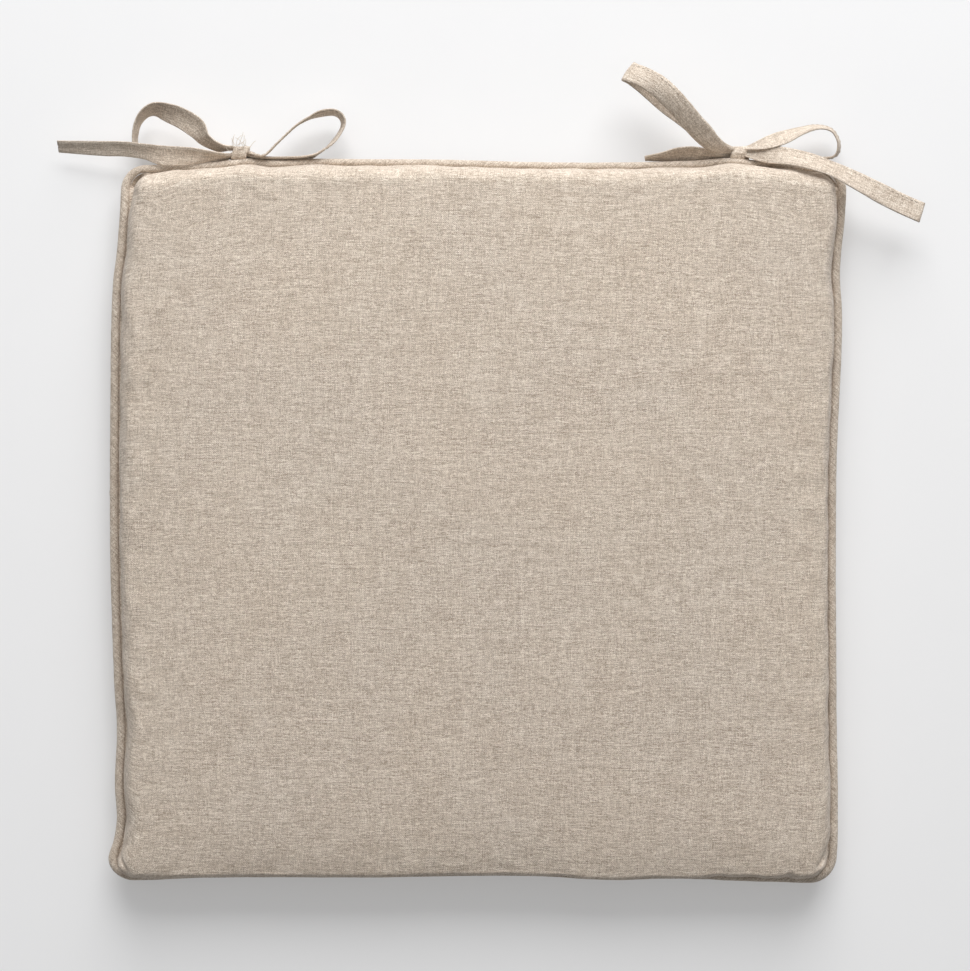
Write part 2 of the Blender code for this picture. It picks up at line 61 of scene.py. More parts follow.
# Sizes that the CAD part fixes
PIPING_LOW, PIPING_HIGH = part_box("piping_cover")
HALF_X, HALF_Y = PIPING_HIGH.x, PIPING_HIGH.y
SEAM_Z = (PIPING_LOW.z + PIPING_HIGH.z) / 2
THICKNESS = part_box("top_panel")[1].z
PIPING_RADIUS = 2.5 * MM
CORD_RADIUS = 1.5 * MM
FLANGE_REACH = (2.2 * MM, 7.2 * MM)
FLANGE_SINK = 8.5 * MM
FLANGE_STEP = 1.6 * MM
CORNER_RADIUS = 14 * MM
TIE_WIDTH = 12 * MM

# The cover's mesh is fine over its rounded edges and coarser in the middle
FINE_SPACING = 1.3 * MM
FINE_SPAN = 27 * MM
SPACING_GROWTH = 1.12
COARSE_SPACING = 6.5 * MM
CLOTH_THICKNESS = 0.8 * MM
CLOTH_STEPS = 20
CLOTH_PRESSURE = 2.5
CLOTH_TO_SPARE = -0.012
CLOTH_TRAVEL = 1.4 * MM

# How the padded edge is shaped on each side of the pad: how far inside the piping's outer line the
# top panel is sewn, how far it bulges over its seam, how wide its shoulder is, how far the filling
# sags towards it, and how high the seam allowance lifts the cloth along it
RIM_INSET = {"left": 6.4 * MM, "right": 5.9 * MM, "back": 4.9 * MM, "front": 3.1 * MM}
TOP_BULGE = {"left": -0.2 * MM, "right": 0.2 * MM, "back": 0.4 * MM, "front": 0.9 * MM}
TOP_RUN = {"left": 12 * MM, "right": 6 * MM, "back": 10 * MM, "front": 0.8 * MM}
EDGE_SAG = {"left": 0.5 * MM, "right": 0.5 * MM, "back": 0.0, "front": 2.6 * MM}
EDGE_LIP = {"left": 0.0, "right": 0.4 * MM, "back": 0.0, "front": 1.3 * MM}
SAG_REACH = 11 * MM
LIP_REACH = 2.2 * MM
TOP_LENGTH = 24 * MM
TOP_FULLNESS = 2.5
BOTTOM_BULGE = dict.fromkeys(TOP_BULGE, 0.8 * MM)
BOTTOM_RUN = dict.fromkeys(TOP_RUN, 7 * MM)
BOTTOM_LENGTH = 20.5 * MM
BOTTOM_FULLNESS = 3.4
CROWN = 6.5 * MM
DENTS = ((0.55 * MM, 75 * MM, 3), (0.16 * MM, 26 * MM, 5))  # depth, size and seed
BULGE_SHAPE = 6.75  # makes a bulge's highest point 1
FRONT_SEAM_DROP = 4.0 * MM
FRONT_SEAM_SPAN = (-0.158, 0.172)
FRONT_TUCK = (0.130, 0.180, 1.9 * MM)

# Small folds where the cover is caught at the front corners: a line's ends and the way it rises
CORNER_FOLDS = (
    ((-0.1955, -0.1800), (-0.1885, -0.1915), (-0.45, -0.35, 0.82)),
    ((0.1945, -0.1775), (0.1870, -0.1895), (0.45, -0.35, 0.82)),
)
FOLD_RIDGE = 1.3 * MM
FOLD_GROOVE = 1.5 * MM

# How far the top panel's shoulder is drawn in at each corner, by the signs of x and y
CORNER_PULL = {(-1, 1): 3.0 * MM, (1, 1): 2.2 * MM, (-1, -1): 1.5 * MM, (1, -1): 3.5 * MM}
CORNER_SHARE = 0.86

# How far the seam sinks behind the piping at the two back corners
CORNER_DROP = {(-1, 1): 9.0 * MM, (1, 1): 9.0 * MM, (-1, -1): 0.0, (1, -1): 0.0}

# The piping's radius on each side
PIPING_RADII = {"left": 2.5 * MM, "right": 2.4 * MM, "back": 2.15 * MM, "front": 2.3 * MM}

PIPING_STEPS = 960
CORD_TWISTS = 160  # whole turns of the cord's plies, all round the pad

# Where the ends of the bias strip are joined, on the left side
PIPING_JOIN_Y = 14.6 * MM

# The layers inside the cover, as depths below its outer face
WADDING_OUTER = 2.2 * MM
WADDING_INNER = 4.6 * MM
FOAM_DEPTH = 5.1 * MM
FOAM_INSET = 14.5 * MM
FOAM_EDGE = 4 * MM
FOAM_LENGTH = 15 * MM
FOAM_FULLNESS = 5.0
ZIP_CLEARANCE = 0.9 * MM

# The opening for the zip in the back of the bottom panel
ZIP_WINDOW_X = (-0.116, 0.1357)
ZIP_WINDOW_Z = (4.1 * MM, 13.0 * MM)
WALL_COLUMNS = 14  # the outer columns of the panel's mesh, which stand up at the back

# How far the sewn outline strays outwards from a true rectangle, at places along each side, in mm
WANDER = {
    "left": [
        (-200, 1.6), (-186, 1.4), (-176, -1.8), (-166, -3.4), (-147, -2.4), (-113, -3.5),
        (-92, -2.1), (-58, -0.8), (-30, 0), (80, 0), (107, -0.3), (135, -1.6), (149, -3.4),
        (162, -4.5), (176, -5.5), (200, -6),
    ],
    "right": [
        (-200, -1), (-186, 0), (-100, 0), (-10, -0.3), (40, 0.3), (60, 1.2), (80, 2.2), (100, 3),
        (118, 3), (135, 1.9), (149, 2.6), (162, 4.1), (176, 5.2), (200, 5.6),
    ],
    "back": [
        (-200, -2.8), (-170, -2.4), (-155, -1.7), (-140, -0.3), (-129, 1), (-115, 0), (-88, 0.8),
        (-60, 0.6), (-13, 0.2), (28, -1), (97, -0.9), (122, 0), (139, 1.4), (151, 0), (162, -1),
        (200, -3),
    ],
    "front": [
        (-200, 0.7), (-178, 0.7), (-150, 0.1), (-60, -0.1), (50, -0.1), (66, 1), (80, 1.4),
        (100, 0.6), (125, 0.8), (150, 2), (175, 2.4), (200, 2.2),
    ],
}

# Where each bow is knotted, and its strips. Each strip runs through stations measured from the
# middle of its knot, all in mm: the strip's centre as x, y, z, and then half of its width as a
# vector to its upper edge.
LEFT_KNOT = sum(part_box("left_knot"), Vector()) / 2
RIGHT_KNOT = sum(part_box("right_knot"), Vector()) / 2
STRIPS = {
    "left_long_tail": [
        (-5.3, -3.4, 0.6, 0, 0.5, 1.4), (-12.5, -4, 3, 0, 1.6, 3), (-26.2, -4, 5.8, 0, 4.3, 2.2),
        (-41.2, -3.8, 5.8, 0, 5.3, 1.4), (-52.3, -1.4, 4.5, 0, 4, 2.2),
        (-64, 0.2, 2.8, 0, 3.8, 2.4), (-74.8, 0.6, 1.4, 0, 3.8, 2.2), (-88, 1.4, -0.8, 0, 3.4, 2.2),
        (-101, 2.2, -2.5, 0, 2.9, 2.4),
    ],
    "left_outer_loop": [
        (-5.3, 0.4, 1.2, 0, 0.8, 2.2), (-11.7, 1, 2.2, 1.6, 1.4, 4.2),
        (-19.2, 5.6, 2.2, 3.3, 1.2, 4.9), (-24.2, 12, 1.7, 4, 3.7, 2.4),
        (-32, 17.2, 1.2, 2.6, 4.8, 2.6), (-39.7, 20.4, 0.5, 1.3, 4.6, 3.6),
        (-46.8, 22.2, -0.5, 0.2, 3.2, 5), (-52.7, 20.4, -2, -0.8, 1.4, 5.7),
        (-56.8, 15.4, -3.5, -0.6, 0.3, 5.9), (-58.5, 9.2, -5, -0.5, 0, 5.9),
        (-58.3, 4.5, -6.2, -0.5, -0.3, 5.9), (-55.7, 0.8, -7, -0.5, -0.6, 5.9),
        (-49.3, -1.5, -8, 0, -0.6, 5.9), (-39.2, -1.8, -8.2, 0, 0, 6),
        (-22.8, -1.8, -7.5, 0, 0, 5.9), (-10.5, -2, -4.5, 0, 0, 3.8), (-5.3, -2, -3.3, 0, 0, 1.6),
    ],
    "left_inner_loop": [
        (5.3, -1.4, 1.2, 0, 0, 2), (13, -3, 1.8, 0.4, -0.5, 5), (20.5, 3.6, 2, 0.5, -0.6, 5.8),
        (30, 12.7, 1.5, 0.5, -0.6, 5.8), (37, 17.2, 0.8, 0.4, -0.3, 5.9),
        (43.8, 20.1, 0, 0.2, 0.6, 5.9), (51.5, 21, -0.8, 0.3, 0.9, 5.8),
        (56, 18, -1.5, 1.1, 0.5, 5.8), (56.2, 12.7, -2, 1.4, -0.1, 5.8),
        (51, 4.6, -1, 1.2, -0.7, 5.8), (43.8, -1.3, -0.2, 0.6, -0.4, 5.8),
        (36.9, -4.2, -0.4, 0.2, 0.3, 5.5), (24.7, -5, -1, 0, 0.4, 4.6),
        (12.3, -4.6, -1.2, 0, 0.2, 3.4), (5.3, -3.4, -1.4, 0, 0, 2.2),
    ],
    "left_short_tail": [
        (-5.3, -3.4, -3.3, 0, 0, 1.6), (-11.5, -5, -7.5, 0, 0, 4.8), (-19.5, -6.2, -9.3, 0, 0, 5.8),
        (-33.5, -6.5, -9.5, 0, 0, 6), (-47.5, -6.3, -9.5, 0, 0, 6),
    ],
    "right_inner_loop": [
        (-5.3, -0.4, 2.8, 1, 1.8, 1.2), (-13.8, 1.6, 7.6, 2.6, 3, 3),
        (-23.3, 9.6, 13.2, 3.8, 3.6, 3), (-33.3, 20.3, 17.8, 4, 3.9, 2.4),
        (-44, 30.6, 20.5, 4, 4.5, 0.4), (-53.5, 36.6, 21, 3.7, 4.7, -1.4),
        (-59.8, 39.3, 19.5, 3.6, 4.7, -1.2), (-61.8, 40.5, 16, 3.6, 4.8, 0),
        (-59, 39.8, 12.5, 3.6, 4.8, 0.4), (-51.8, 34.8, 10, 3.5, 4.9, 0.6),
        (-40.2, 25, 8, 3.5, 4.9, 0.8), (-29.4, 17.2, 6.2, 3.3, 4.7, 1.4),
        (-19.3, 8.6, 4, 2.4, 4.2, 2.2), (-11.2, 1.4, 1.8, 1, 2.4, 1.8),
        (-5.3, -1.4, -0.6, 0.3, 0.8, 1.4),
    ],
    "right_outer_loop": [
        (5.3, 0.6, 2, 0, 1.2, -1.8), (14, 3, 4.8, 0.6, 3.8, -3.2), (23.8, 6.2, 5.2, 0.8, 4.2, -3.6),
        (33.5, 10, 4, 0.4, 2.8, -5), (43, 12.4, 2.2, 0.2, 1.8, -5.6),
        (51, 10.8, 0.4, 1.2, 1.2, -5.7), (54.8, 5.2, -0.8, 1.4, 0.4, -5.7),
        (54.9, -0.6, -2.2, 1.2, 0, -5.8), (52, -3.4, -3.4, 0.4, 0.4, -5.9),
        (45, -4, -4.2, 0, 0.2, -5.9), (33.5, -3.7, -3.8, 0, 0, -5.8),
        (19.5, -3.4, -2.5, 0, 0, -4.6), (5.3, -2.2, -2.2, 0, 0, -2.2),
    ],
    "right_long_tail": [
        (5.3, -2.6, 2.4, 0, 2, -0.4), (15, -3.4, 7, 0.4, 4.8, -0.6),
        (26.9, -5.2, 11.8, 0.8, 4.8, -3.4), (39.2, -8.8, 16, 1.1, 4.6, -3.6),
        (50.4, -13, 16.5, 1.6, 4.3, -3.8), (63, -18.9, 15.5, 2.2, 4.7, -3),
        (76, -25.4, 13.5, 2.6, 5, -2), (88.4, -31.1, 11.2, 2.5, 5.1, -1.8),
        (99.4, -35.5, 9, 2.3, 5.3, -1.6),
    ],
    "right_short_tail": [
        (-5.3, -3.4, -2.6, 0, 0.2, 1.4), (-13, -3.8, -0.8, 0, 1.4, 3.6),
        (-22.5, -2.4, 0.6, 0, 3.2, 4.8), (-32.7, -2.4, 0.6, 0, 3.3, 4.8), (-43, -4, 0, 0, 1.8, 4),
        (-51.7, -4.9, -1.2, 0, 0.6, 2.2),
    ],
}

# How deeply the strips that aren't flat are cupped across their width
STRIP_CUP = {"left_long_tail": 0.9 * MM, "left_outer_loop": 0.8 * MM, "right_inner_loop": -1.1 * MM}
PLAIN_CUP = 0.25 * MM

# The knots lie against the piping, and each is two turns: sideways shift, lean and radius
KNOT_SETTLE = Vector((0.0, -1.6 * MM, -0.6 * MM))
KNOT_TURNS = ((-1.9 * MM, 0.9 * MM, 3.1 * MM), (1.8 * MM, 1.1 * MM, 3.3 * MM))
KNOT_TURN_WIDTH = 4.6 * MM

# Frayed threads at the left knot: start across and along from it in mm, direction and length
LOOSE_THREADS = (
    (-4.5, -1.5, 2.3, 5.5), (-2.0, 0.5, 1.9, 6.5), (-1.0, 1.5, 0.9, 5.0), (1.5, 0.0, 1.3, 6.0),
    (3.0, -1.0, 0.6, 4.5), (4.0, 0.5, 2.0, 4.0), (5.0, -1.5, 1.1, 3.5), (-3.2, 1.0, 1.6, 7.0),
    (0.5, 2.0, 1.5, 7.5), (2.2, 1.6, 2.4, 6.5), (-5.5, 0.2, 2.7, 4.5), (4.6, 1.8, 0.4, 5.0),
    (0.0, -0.5, 2.1, 8.0), (-1.5, 2.2, 1.2, 6.0), (3.4, 2.4, 1.9, 5.5),
)
LOOSE_THREAD_RADIUS = 0.14 * MM

# The strips that aren't fixed to the cushion, each with a body name; they are left in place, not
# attached to it
STRIP_BODY = {
    "left_long_tail": "left_bow_outer",
    "left_outer_loop": "left_bow_outer",
    "left_inner_loop": "left_bow_inner",
    "right_inner_loop": "right_bow_inner",
    "right_outer_loop": "right_bow_outer",
    "right_long_tail": "right_bow_outer",
}

# Stitches: how far across a strip they lie, and how they arch out of the cloth
STITCH_PLACE = 0.74
STITCH_ARCH = np.array([-0.25, 0.10, 0.16, 0.10, -0.25]) * MM

# The zip
ZIP_Z = (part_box("zip_coil_lower")[0].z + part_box("zip_coil_upper")[1].z) / 2
COIL_PITCH = 1.25 * MM
COIL_WIRE = 0.26 * MM
COIL_STEPS = 12
COIL_MESH = 0.45 * MM  # how far each row of teeth reaches past the middle
TAPE_SEWING = 2.4 * MM

# Colours, all linear
LINEN = (0.625, 0.518, 0.420)
LINEN_DARK = (0.315, 0.250, 0.190)
LINEN_LIGHT = (0.91, 0.835, 0.735)
THREAD = (0.74, 0.66, 0.56)
COTTON = (0.86, 0.83, 0.76)
FLEECE = (0.90, 0.90, 0.88)
FOAM = (0.85, 0.82, 0.68)
ZIP_TAPE = (0.56, 0.48, 0.39)
ZIP_TEETH = (0.52, 0.45, 0.37)
METAL = (0.62, 0.60, 0.57)
SATIN = (0.88, 0.87, 0.84)
FLOOR = (0.62, 0.62, 0.625)
FLOOR_GLOW = 0.24

# A large soft light beyond the back edge, and an even fill
KEY_PLACE = (0.24, 1.98, 1.34)
KEY_SIZE = (1.9, 2.1)
KEY_POWER = 76.0
SOFT_PLACE = (-0.2, 0.80, 2.0)
SOFT_SIZE = (3.0, 3.0)
SOFT_POWER = 14.0
FILL_STRENGTH = 0.15

# The camera looks straight down
CAMERA_PLACE = Vector((0.0063, 0.0187, 1.4))
CAMERA_LENS = 93.09
CAMERA_SENSOR = 36.0


# ---------------------------------------------------------------- plan of the pad


def curve_through(points, at):
    """A smooth curve's values in metres. It runs through (place, value) points given in mm."""
    places, values = (np.array(points) * MM).T
    slopes = np.gradient(values, places)
    i = np.clip(np.searchsorted(places, at) - 1, 0, len(places) - 2)
    width = places[i + 1] - places[i]
    t = np.clip((at - places[i]) / width, 0, 1)
    return (
        (2 * t**3 - 3 * t**2 + 1) * values[i]
        + (t**3 - 2 * t**2 + t) * width * slopes[i]
        + (3 * t**2 - 2 * t**3) * values[i + 1]
        + (t**3 - t**2) * width * slopes[i + 1]
    )


def smoothstep(low, high, value):
    t = np.clip((value - low) / (high - low), 0, 1)
    return t * t * (3 - 2 * t)


def ripple(points, size, seed):
    """A soft random field from -1 to 1 at each point, with features of the given size."""
    shift = Vector((seed * 7.1, seed * 3.7, seed * 5.3))
    return np.array([noise.noise(Vector(p) / size + shift) for p in points])


def grid_of(rows, columns):
    """The two coordinates of each point of a grid, row by row."""
    return (part.ravel() for part in np.meshgrid(rows, columns, indexing="ij"))


def unit(vectors):
    return vectors / np.linalg.norm(vectors, axis=1)[:, None]


def running_length(steps):
    """How far along a line each of its points is, from the lengths between them."""
    return np.concatenate([[0.0], np.cumsum(steps)])


def arc_lengths(line):
    return running_length(np.linalg.norm(np.diff(line, axis=0), axis=1))


def stray(points):
    """Moves points of the true rectangle to where the sewn outline lies."""
    moved = np.array(points, float)
    x, y = moved[:, 0].copy(), moved[:, 1].copy()
    right = np.clip((x / HALF_X + 1) / 2, 0, 1.1)
    back = np.clip((y / HALF_Y + 1) / 2, 0, 1.1)
    moved[:, 0] += curve_through(WANDER["right"], y) * right**3
    moved[:, 0] -= curve_through(WANDER["left"], y) * (1 - right) ** 3
    moved[:, 1] += curve_through(WANDER["back"], x) * back**3
    moved[:, 1] -= curve_through(WANDER["front"], x) * (1 - back) ** 3
    return moved


def seam_drop(x, facing_front):
    """How far the seam is tucked down under the front edge's bulge."""
    low, high = FRONT_SEAM_SPAN
    span = smoothstep(low - 0.02, low + 0.01, x) * (1 - smoothstep(high - 0.01, high + 0.02, x))
    return FRONT_SEAM_DROP * span * facing_front


def by_side(values, normals):
    """Mixes one value for each side by the way that each point of the edge faces."""
    x, y = normals[:, 0], normals[:, 1]
    across = np.where(x > 0, values["right"], values["left"])
    along = np.where(y > 0, values["back"], values["front"])
    return across * x**2 + along * y**2


# ---------------------------------------------------------------- mesh helpers


def mesh_object(name, points, faces, uvs=None, smooth=True, material=None):
    """A mesh from arrays. uvs is one (u, v) for each corner of each face, in metres of cloth."""
    mesh = bpy.data.meshes.new(name)
    mesh.from_pydata([tuple(p) for p in points], [], [tuple(f) for f in faces])
    mesh.update()
    if uvs is not None:
        layer = mesh.uv_layers.new(name="cloth")
        layer.data.foreach_set("uv", np.asarray(uvs, np.float32).ravel())
    if smooth:
        mesh.polygons.foreach_set("use_smooth", [True] * len(mesh.polygons))
    if material is not None:
        mesh.materials.append(material)
    obj = bpy.data.objects.new(name, mesh)
    bpy.context.scene.collection.objects.link(obj)
    return obj


def positions(obj):
    """The places of an object's points, one in each row."""
    found = np.zeros(len(obj.data.vertices) * 3)
    obj.data.vertices.foreach_get("co", found)
    return found.reshape(-1, 3)


def remove_loose(obj):
    """Removes the points that no face uses."""
    work = bmesh.new()
    work.from_mesh(obj.data)
    bmesh.ops.delete(work, geom=[v for v in work.verts if not v.link_faces], context="VERTS")
    work.to_mesh(obj.data)
    work.free()


def grid_faces(rows, columns, first=0, flip=False, wrap=False):
    """Quads over a grid of points. wrap joins the last column to the first."""
    faces = []
    for i in range(rows - 1):
        for j in range(columns if wrap else columns - 1):
            k = (j + 1) % columns
            face = [i * columns + j, i * columns + k, (i + 1) * columns + k, (i + 1) * columns + j]
            faces.append([first + v for v in (face[::-1] if flip else face)])
    return faces


def end_caps(rows, columns):
    """The first and the last ring of a wrapped grid of points, as faces."""
    return [list(range(columns))[::-1], [(rows - 1) * columns + j for j in range(columns)]]


def sheet_faces(rows, columns, flip):
    """The faces of a thin sheet between two grids of points, one after the other."""
    count, last = rows * columns, (rows - 1) * columns
    ring = [
        *range(0, last, columns),
        *range(last, count - 1),
        *range(count - 1, columns - 1, -columns),
        *range(columns - 1, 0, -1),
    ]
    faces = grid_faces(rows, columns, flip=flip)
    faces += grid_faces(rows, columns, first=count, flip=not flip)
    for v, w in zip(ring, ring[1:] + ring[:1]):
        faces.append([v, w, w + count, v + count] if flip else [w, v, v + count, w + count])
    return faces


def closed_ring_faces(count, sides):
    """Quads round a closed tube, one ring after another."""
    last = (count - 1) * sides
    joining = [[last + j, last + (j + 1) % sides, (j + 1) % sides, j] for j in range(sides)]
    return grid_faces(count, sides, wrap=True) + joining


def cloth_uvs(along, around):
    """The cloth's own coordinates for each corner of each quad of a wrapped grid."""
    return [
        corner
        for near, far in zip(along, along[1:])
        for low, high in zip(around, around[1:])
        for corner in ((near, low), (near, high), (far, high), (far, low))
    ]


def tube(path, radii, sides, closed=False, frames=None):
    """Points and faces of a tube along a path, with its arc lengths."""
    path = np.asarray(path, float)
    count = len(path)
    if closed:
        tangents = np.roll(path, -1, 0) - np.roll(path, 1, 0)
    else:
        tangents = np.gradient(path, axis=0)
    tangents = unit(tangents)
    if frames is None:
        out = np.cross(tangents[0], [0.0, 0.0, 1.0])
        if np.linalg.norm(out) < 1e-3:
            out = np.cross(tangents[0], [1.0, 0.0, 0.0])
        outs = []
        for tangent in tangents:
            out = out - tangent * np.dot(out, tangent)
            out = out / np.linalg.norm(out)
            outs.append(out)
        frames = np.array(outs)
    ups = np.cross(tangents, frames)
    radii = np.asarray(radii, float)
    radii = np.broadcast_to(radii[:, None] if radii.ndim == 1 else radii, (count, sides))
    angles = np.arange(sides) * 2 * math.pi / sides
    rings = (
        path[:, None]
        + frames[:, None] * (np.cos(angles) * radii)[:, :, None]
        + ups[:, None] * (np.sin(angles) * radii)[:, :, None]
    )
    points = rings.reshape(-1, 3)
    if closed:
        return points, closed_ring_faces(count, sides)
    return points, grid_faces(count, sides, wrap=True) + end_caps(count, sides)


def thin_tubes(lines, radius):
    """Points and faces of a thin tube along each line."""
    points, faces = [], []
    for line in lines:
        new_points, new_faces = tube(line, np.full(len(line), radius), 5)
        faces += [[len(points) + v for v in face] for face in new_faces]
        points += list(new_points)
    return points, faces


# ---------------------------------------------------------------- materials


class Nodes:
    """A short way to wire a material's nodes."""

    def __init__(self, name):
        self.material = bpy.data.materials.new(name)
        self.material.use_nodes = True
        self.tree = self.material.node_tree
        self.shader = self.tree.nodes["Principled BSDF"]

    def add(self, kind, inputs=(), **settings):
        node = self.tree.nodes.new(kind)
        for key, value in settings.items():
            setattr(node, key, value)
        for key, value in dict(inputs).items():
            self.feed(node.inputs[key], value)
        return node

    def feed(self, socket, value):
        if isinstance(value, bpy.types.NodeSocket):
            self.tree.links.new(value, socket)
        else:
            socket.default_value = (*value, 1.0) if socket.type == "RGBA" else value

    def millimetres(self):
        place = self.add("ShaderNodeTexCoord").outputs["Object"]
        return self.scaled(place, (1000.0, 1000.0, 1000.0))

    def math(self, operation, a, b=0.5, c=0.0, clamp=False):
        node = self.add("ShaderNodeMath", operation=operation, use_clamp=clamp)
        for socket, value in zip(node.inputs, (a, b, c)):
            self.feed(socket, value)
        return node.outputs[0]

    def scaled(self, coordinates, scale, rotation=0.0):
        node = self.add("ShaderNodeMapping", {"Vector": coordinates})
        node.inputs["Scale"].default_value = scale
        node.inputs["Rotation"].default_value = (0.0, 0.0, rotation)
        return node.outputs[0]

    def noise(self, coordinates, scale=1.0, detail=2.0, roughness=0.5, distortion=0.0):
        node = self.add("ShaderNodeTexNoise", {"Vector": coordinates, "Scale": scale})
        node.inputs["Detail"].default_value = detail
        node.inputs["Roughness"].default_value = roughness
        node.inputs["Distortion"].default_value = distortion
        return node.outputs["Fac"]

    def ramp(self, value, low, high, out_low=0.0, out_high=1.0):
        node = self.add("ShaderNodeMapRange", {"Value": value, "From Min": low, "From Max": high})
        node.inputs["To Min"].default_value = out_low
        node.inputs["To Max"].default_value = out_high
        return node.outputs["Result"]

    def mix(self, amount, a, b, blend="MIX"):
        node = self.add("ShaderNodeMix", data_type="RGBA", blend_type=blend)
        for index, value in ((0, amount), (6, a), (7, b)):
            self.feed(node.inputs[index], value)
        return node.outputs[2]

    def bump(self, height, distance, strength=1.0, normal=None):
        node = self.add("ShaderNodeBump", {"Height": height, "Strength": strength})
        node.inputs["Distance"].default_value = distance
        if normal is not None:
            self.feed(node.inputs["Normal"], normal)
        return node.outputs["Normal"]

    def surface(self, **inputs):
        for key, value in inputs.items():
            self.feed(self.shader.inputs[key.replace("_", " ")], value)
        return self.material


def toned(colour, tone):
    return tuple(part * tone for part in colour)


def linen(name, turn=0.0, tone=1.0):
    """Plain-woven natural linen. Its threads follow the cloth's own coordinates, in metres."""
    nodes = Nodes(name)
    cloth = nodes.add("ShaderNodeUVMap", uv_map="cloth").outputs["UV"]
    cloth = nodes.scaled(cloth, (1000.0, 1000.0, 1000.0), turn)
    wobble = nodes.add("ShaderNodeTexNoise", {"Vector": cloth, "Scale": 0.12, "Detail": 1.0})
    sideways = wobble.outputs["Color"]
    shift = nodes.add("ShaderNodeVectorMath", {"Vector": sideways}, operation="SCALE")
    shift.inputs["Scale"].default_value = 0.9
    places = {0: cloth, 1: shift.outputs[0]}
    cloth = nodes.add("ShaderNodeVectorMath", places, operation="ADD").outputs[0]

    speckle = nodes.noise(cloth, 2.1, 2.0, 0.8)
    dashes = nodes.noise(nodes.scaled(cloth, (0.38, 2.3, 1.0)), 1.0, 2.0, 0.7)
    weft = nodes.noise(nodes.scaled(cloth, (0.085, 2.0, 1.0)), 1.0, 3.0, 0.6)
    slubs = nodes.noise(nodes.scaled(cloth, (0.040, 0.80, 1.0)), 1.0, 2.0, 0.5)
    warp = nodes.noise(nodes.scaled(cloth, (2.1, 0.15, 1.0)), 1.0, 3.0, 0.6)
    grain = nodes.noise(cloth, 3.2, 2.0, 0.7)
    mottle = nodes.noise(cloth, 0.045, 4.0, 0.6)
    drift = nodes.noise(cloth, 0.011, 2.0, 0.5)
    flecks = nodes.noise(nodes.scaled(cloth, (0.22, 1.5, 1.0)), 1.0, 1.0, 0.5)

    value = nodes.math("MULTIPLY_ADD", nodes.math("SUBTRACT", speckle, 0.5), 2.1, 0.5)
    for part, weight in ((dashes, 1.25), (weft, 0.80), (warp, 0.75), (grain, 1.1), (mottle, 0.10)):
        value = nodes.math("MULTIPLY_ADD", nodes.math("SUBTRACT", part, 0.5), weight, value)
    base, dark, light = (toned(shade, tone) for shade in (LINEN, LINEN_DARK, LINEN_LIGHT))
    below = nodes.mix(nodes.ramp(value, 0.5, 0.08), base, dark)
    colour = nodes.mix(nodes.ramp(value, 0.5, 0.92), below, light)
    colour = nodes.mix(nodes.ramp(flecks, 0.66, 0.80, 0.0, 0.50), colour, dark)
    colour = nodes.mix(nodes.ramp(slubs, 0.68, 0.82, 0.0, 0.35), colour, light)
    warm = nodes.mix(nodes.ramp(drift, 0.35, 0.65), (1.006, 1.0, 0.990), (0.996, 1.0, 1.004))
    colour = nodes.mix(1.0, colour, warm, "MULTIPLY")

    split = nodes.add("ShaderNodeSeparateXYZ", {"Vector": cloth})
    across = nodes.math("SINE", nodes.math("MULTIPLY", split.outputs[0], math.pi / 0.62))
    along = nodes.math("SINE", nodes.math("MULTIPLY", split.outputs[1], math.pi / 0.55))
    weave = nodes.math("MULTIPLY", across, along)
    height = nodes.math("MULTIPLY_ADD", weave, 0.35, nodes.math("MULTIPLY", weft, 1.2))
    height = nodes.math("MULTIPLY_ADD", warp, 0.9, height)
    height = nodes.math("MULTIPLY_ADD", speckle, 1.2, height)
    normal = nodes.bump(height, 0.22 * MM, 0.9)
    return nodes.surface(
        Base_Color=colour,
        Roughness=nodes.ramp(grain, 0.3, 0.7, 0.78, 0.95),
        Specular_IOR_Level=0.30,
        Sheen_Weight=0.12,
        Sheen_Roughness=0.55,
        Normal=normal,
    )


def thread(name, colour, size=0.25):
    """Spun sewing thread, with its twist."""
    nodes = Nodes(name)
    place = nodes.millimetres()
    twist = nodes.add(
        "ShaderNodeTexWave",
        {"Vector": place, "Scale": 1 / size, "Distortion": 1.5},
        bands_direction="DIAGONAL",
    ).outputs["Fac"]
    dark = toned(colour, 0.72)
    return nodes.surface(
        Base_Color=nodes.mix(nodes.ramp(twist, 0.1, 0.9), dark, colour),
        Roughness=0.75,
        Specular_IOR_Level=0.3,
        Normal=nodes.bump(twist, 0.05 * MM, 0.8),
    )


def woven_tape(name, colour):
    """The zip's herringbone tape."""
    nodes = Nodes(name)
    place = nodes.millimetres()
    split = nodes.add("ShaderNodeSeparateXYZ", {"Vector": place})
    zigzag = nodes.math("PINGPONG", split.outputs[2], 1.1)
    slant = nodes.math("ADD", split.outputs[0], zigzag)
    rib = nodes.math("SINE", nodes.math("MULTIPLY", slant, 9.0))
    grain = nodes.noise(place, 2.5, 2.0, 0.6)
    shade = nodes.math("MULTIPLY_ADD", rib, 0.22, grain)
    dark = toned(colour, 0.68)
    return nodes.surface(
        Base_Color=nodes.mix(nodes.ramp(shade, 0.2, 0.8), dark, colour),
        Roughness=0.82,
        Specular_IOR_Level=0.3,
        Normal=nodes.bump(shade, 0.12 * MM, 0.9),
    )


def nylon(name, colour):
    """Dyed monofilament, a little glossy."""
    nodes = Nodes(name)
    place = nodes.add("ShaderNodeTexCoord").outputs["Object"]
    streak = nodes.noise(nodes.scaled(place, (900.0, 900.0, 900.0)), 1.0, 2.0, 0.5)
    dark = toned(colour, 0.85)
    return nodes.surface(
        Base_Color=nodes.mix(streak, dark, colour),
        Roughness=nodes.ramp(streak, 0.3, 0.7, 0.28, 0.42),
        Specular_IOR_Level=0.5,
    )


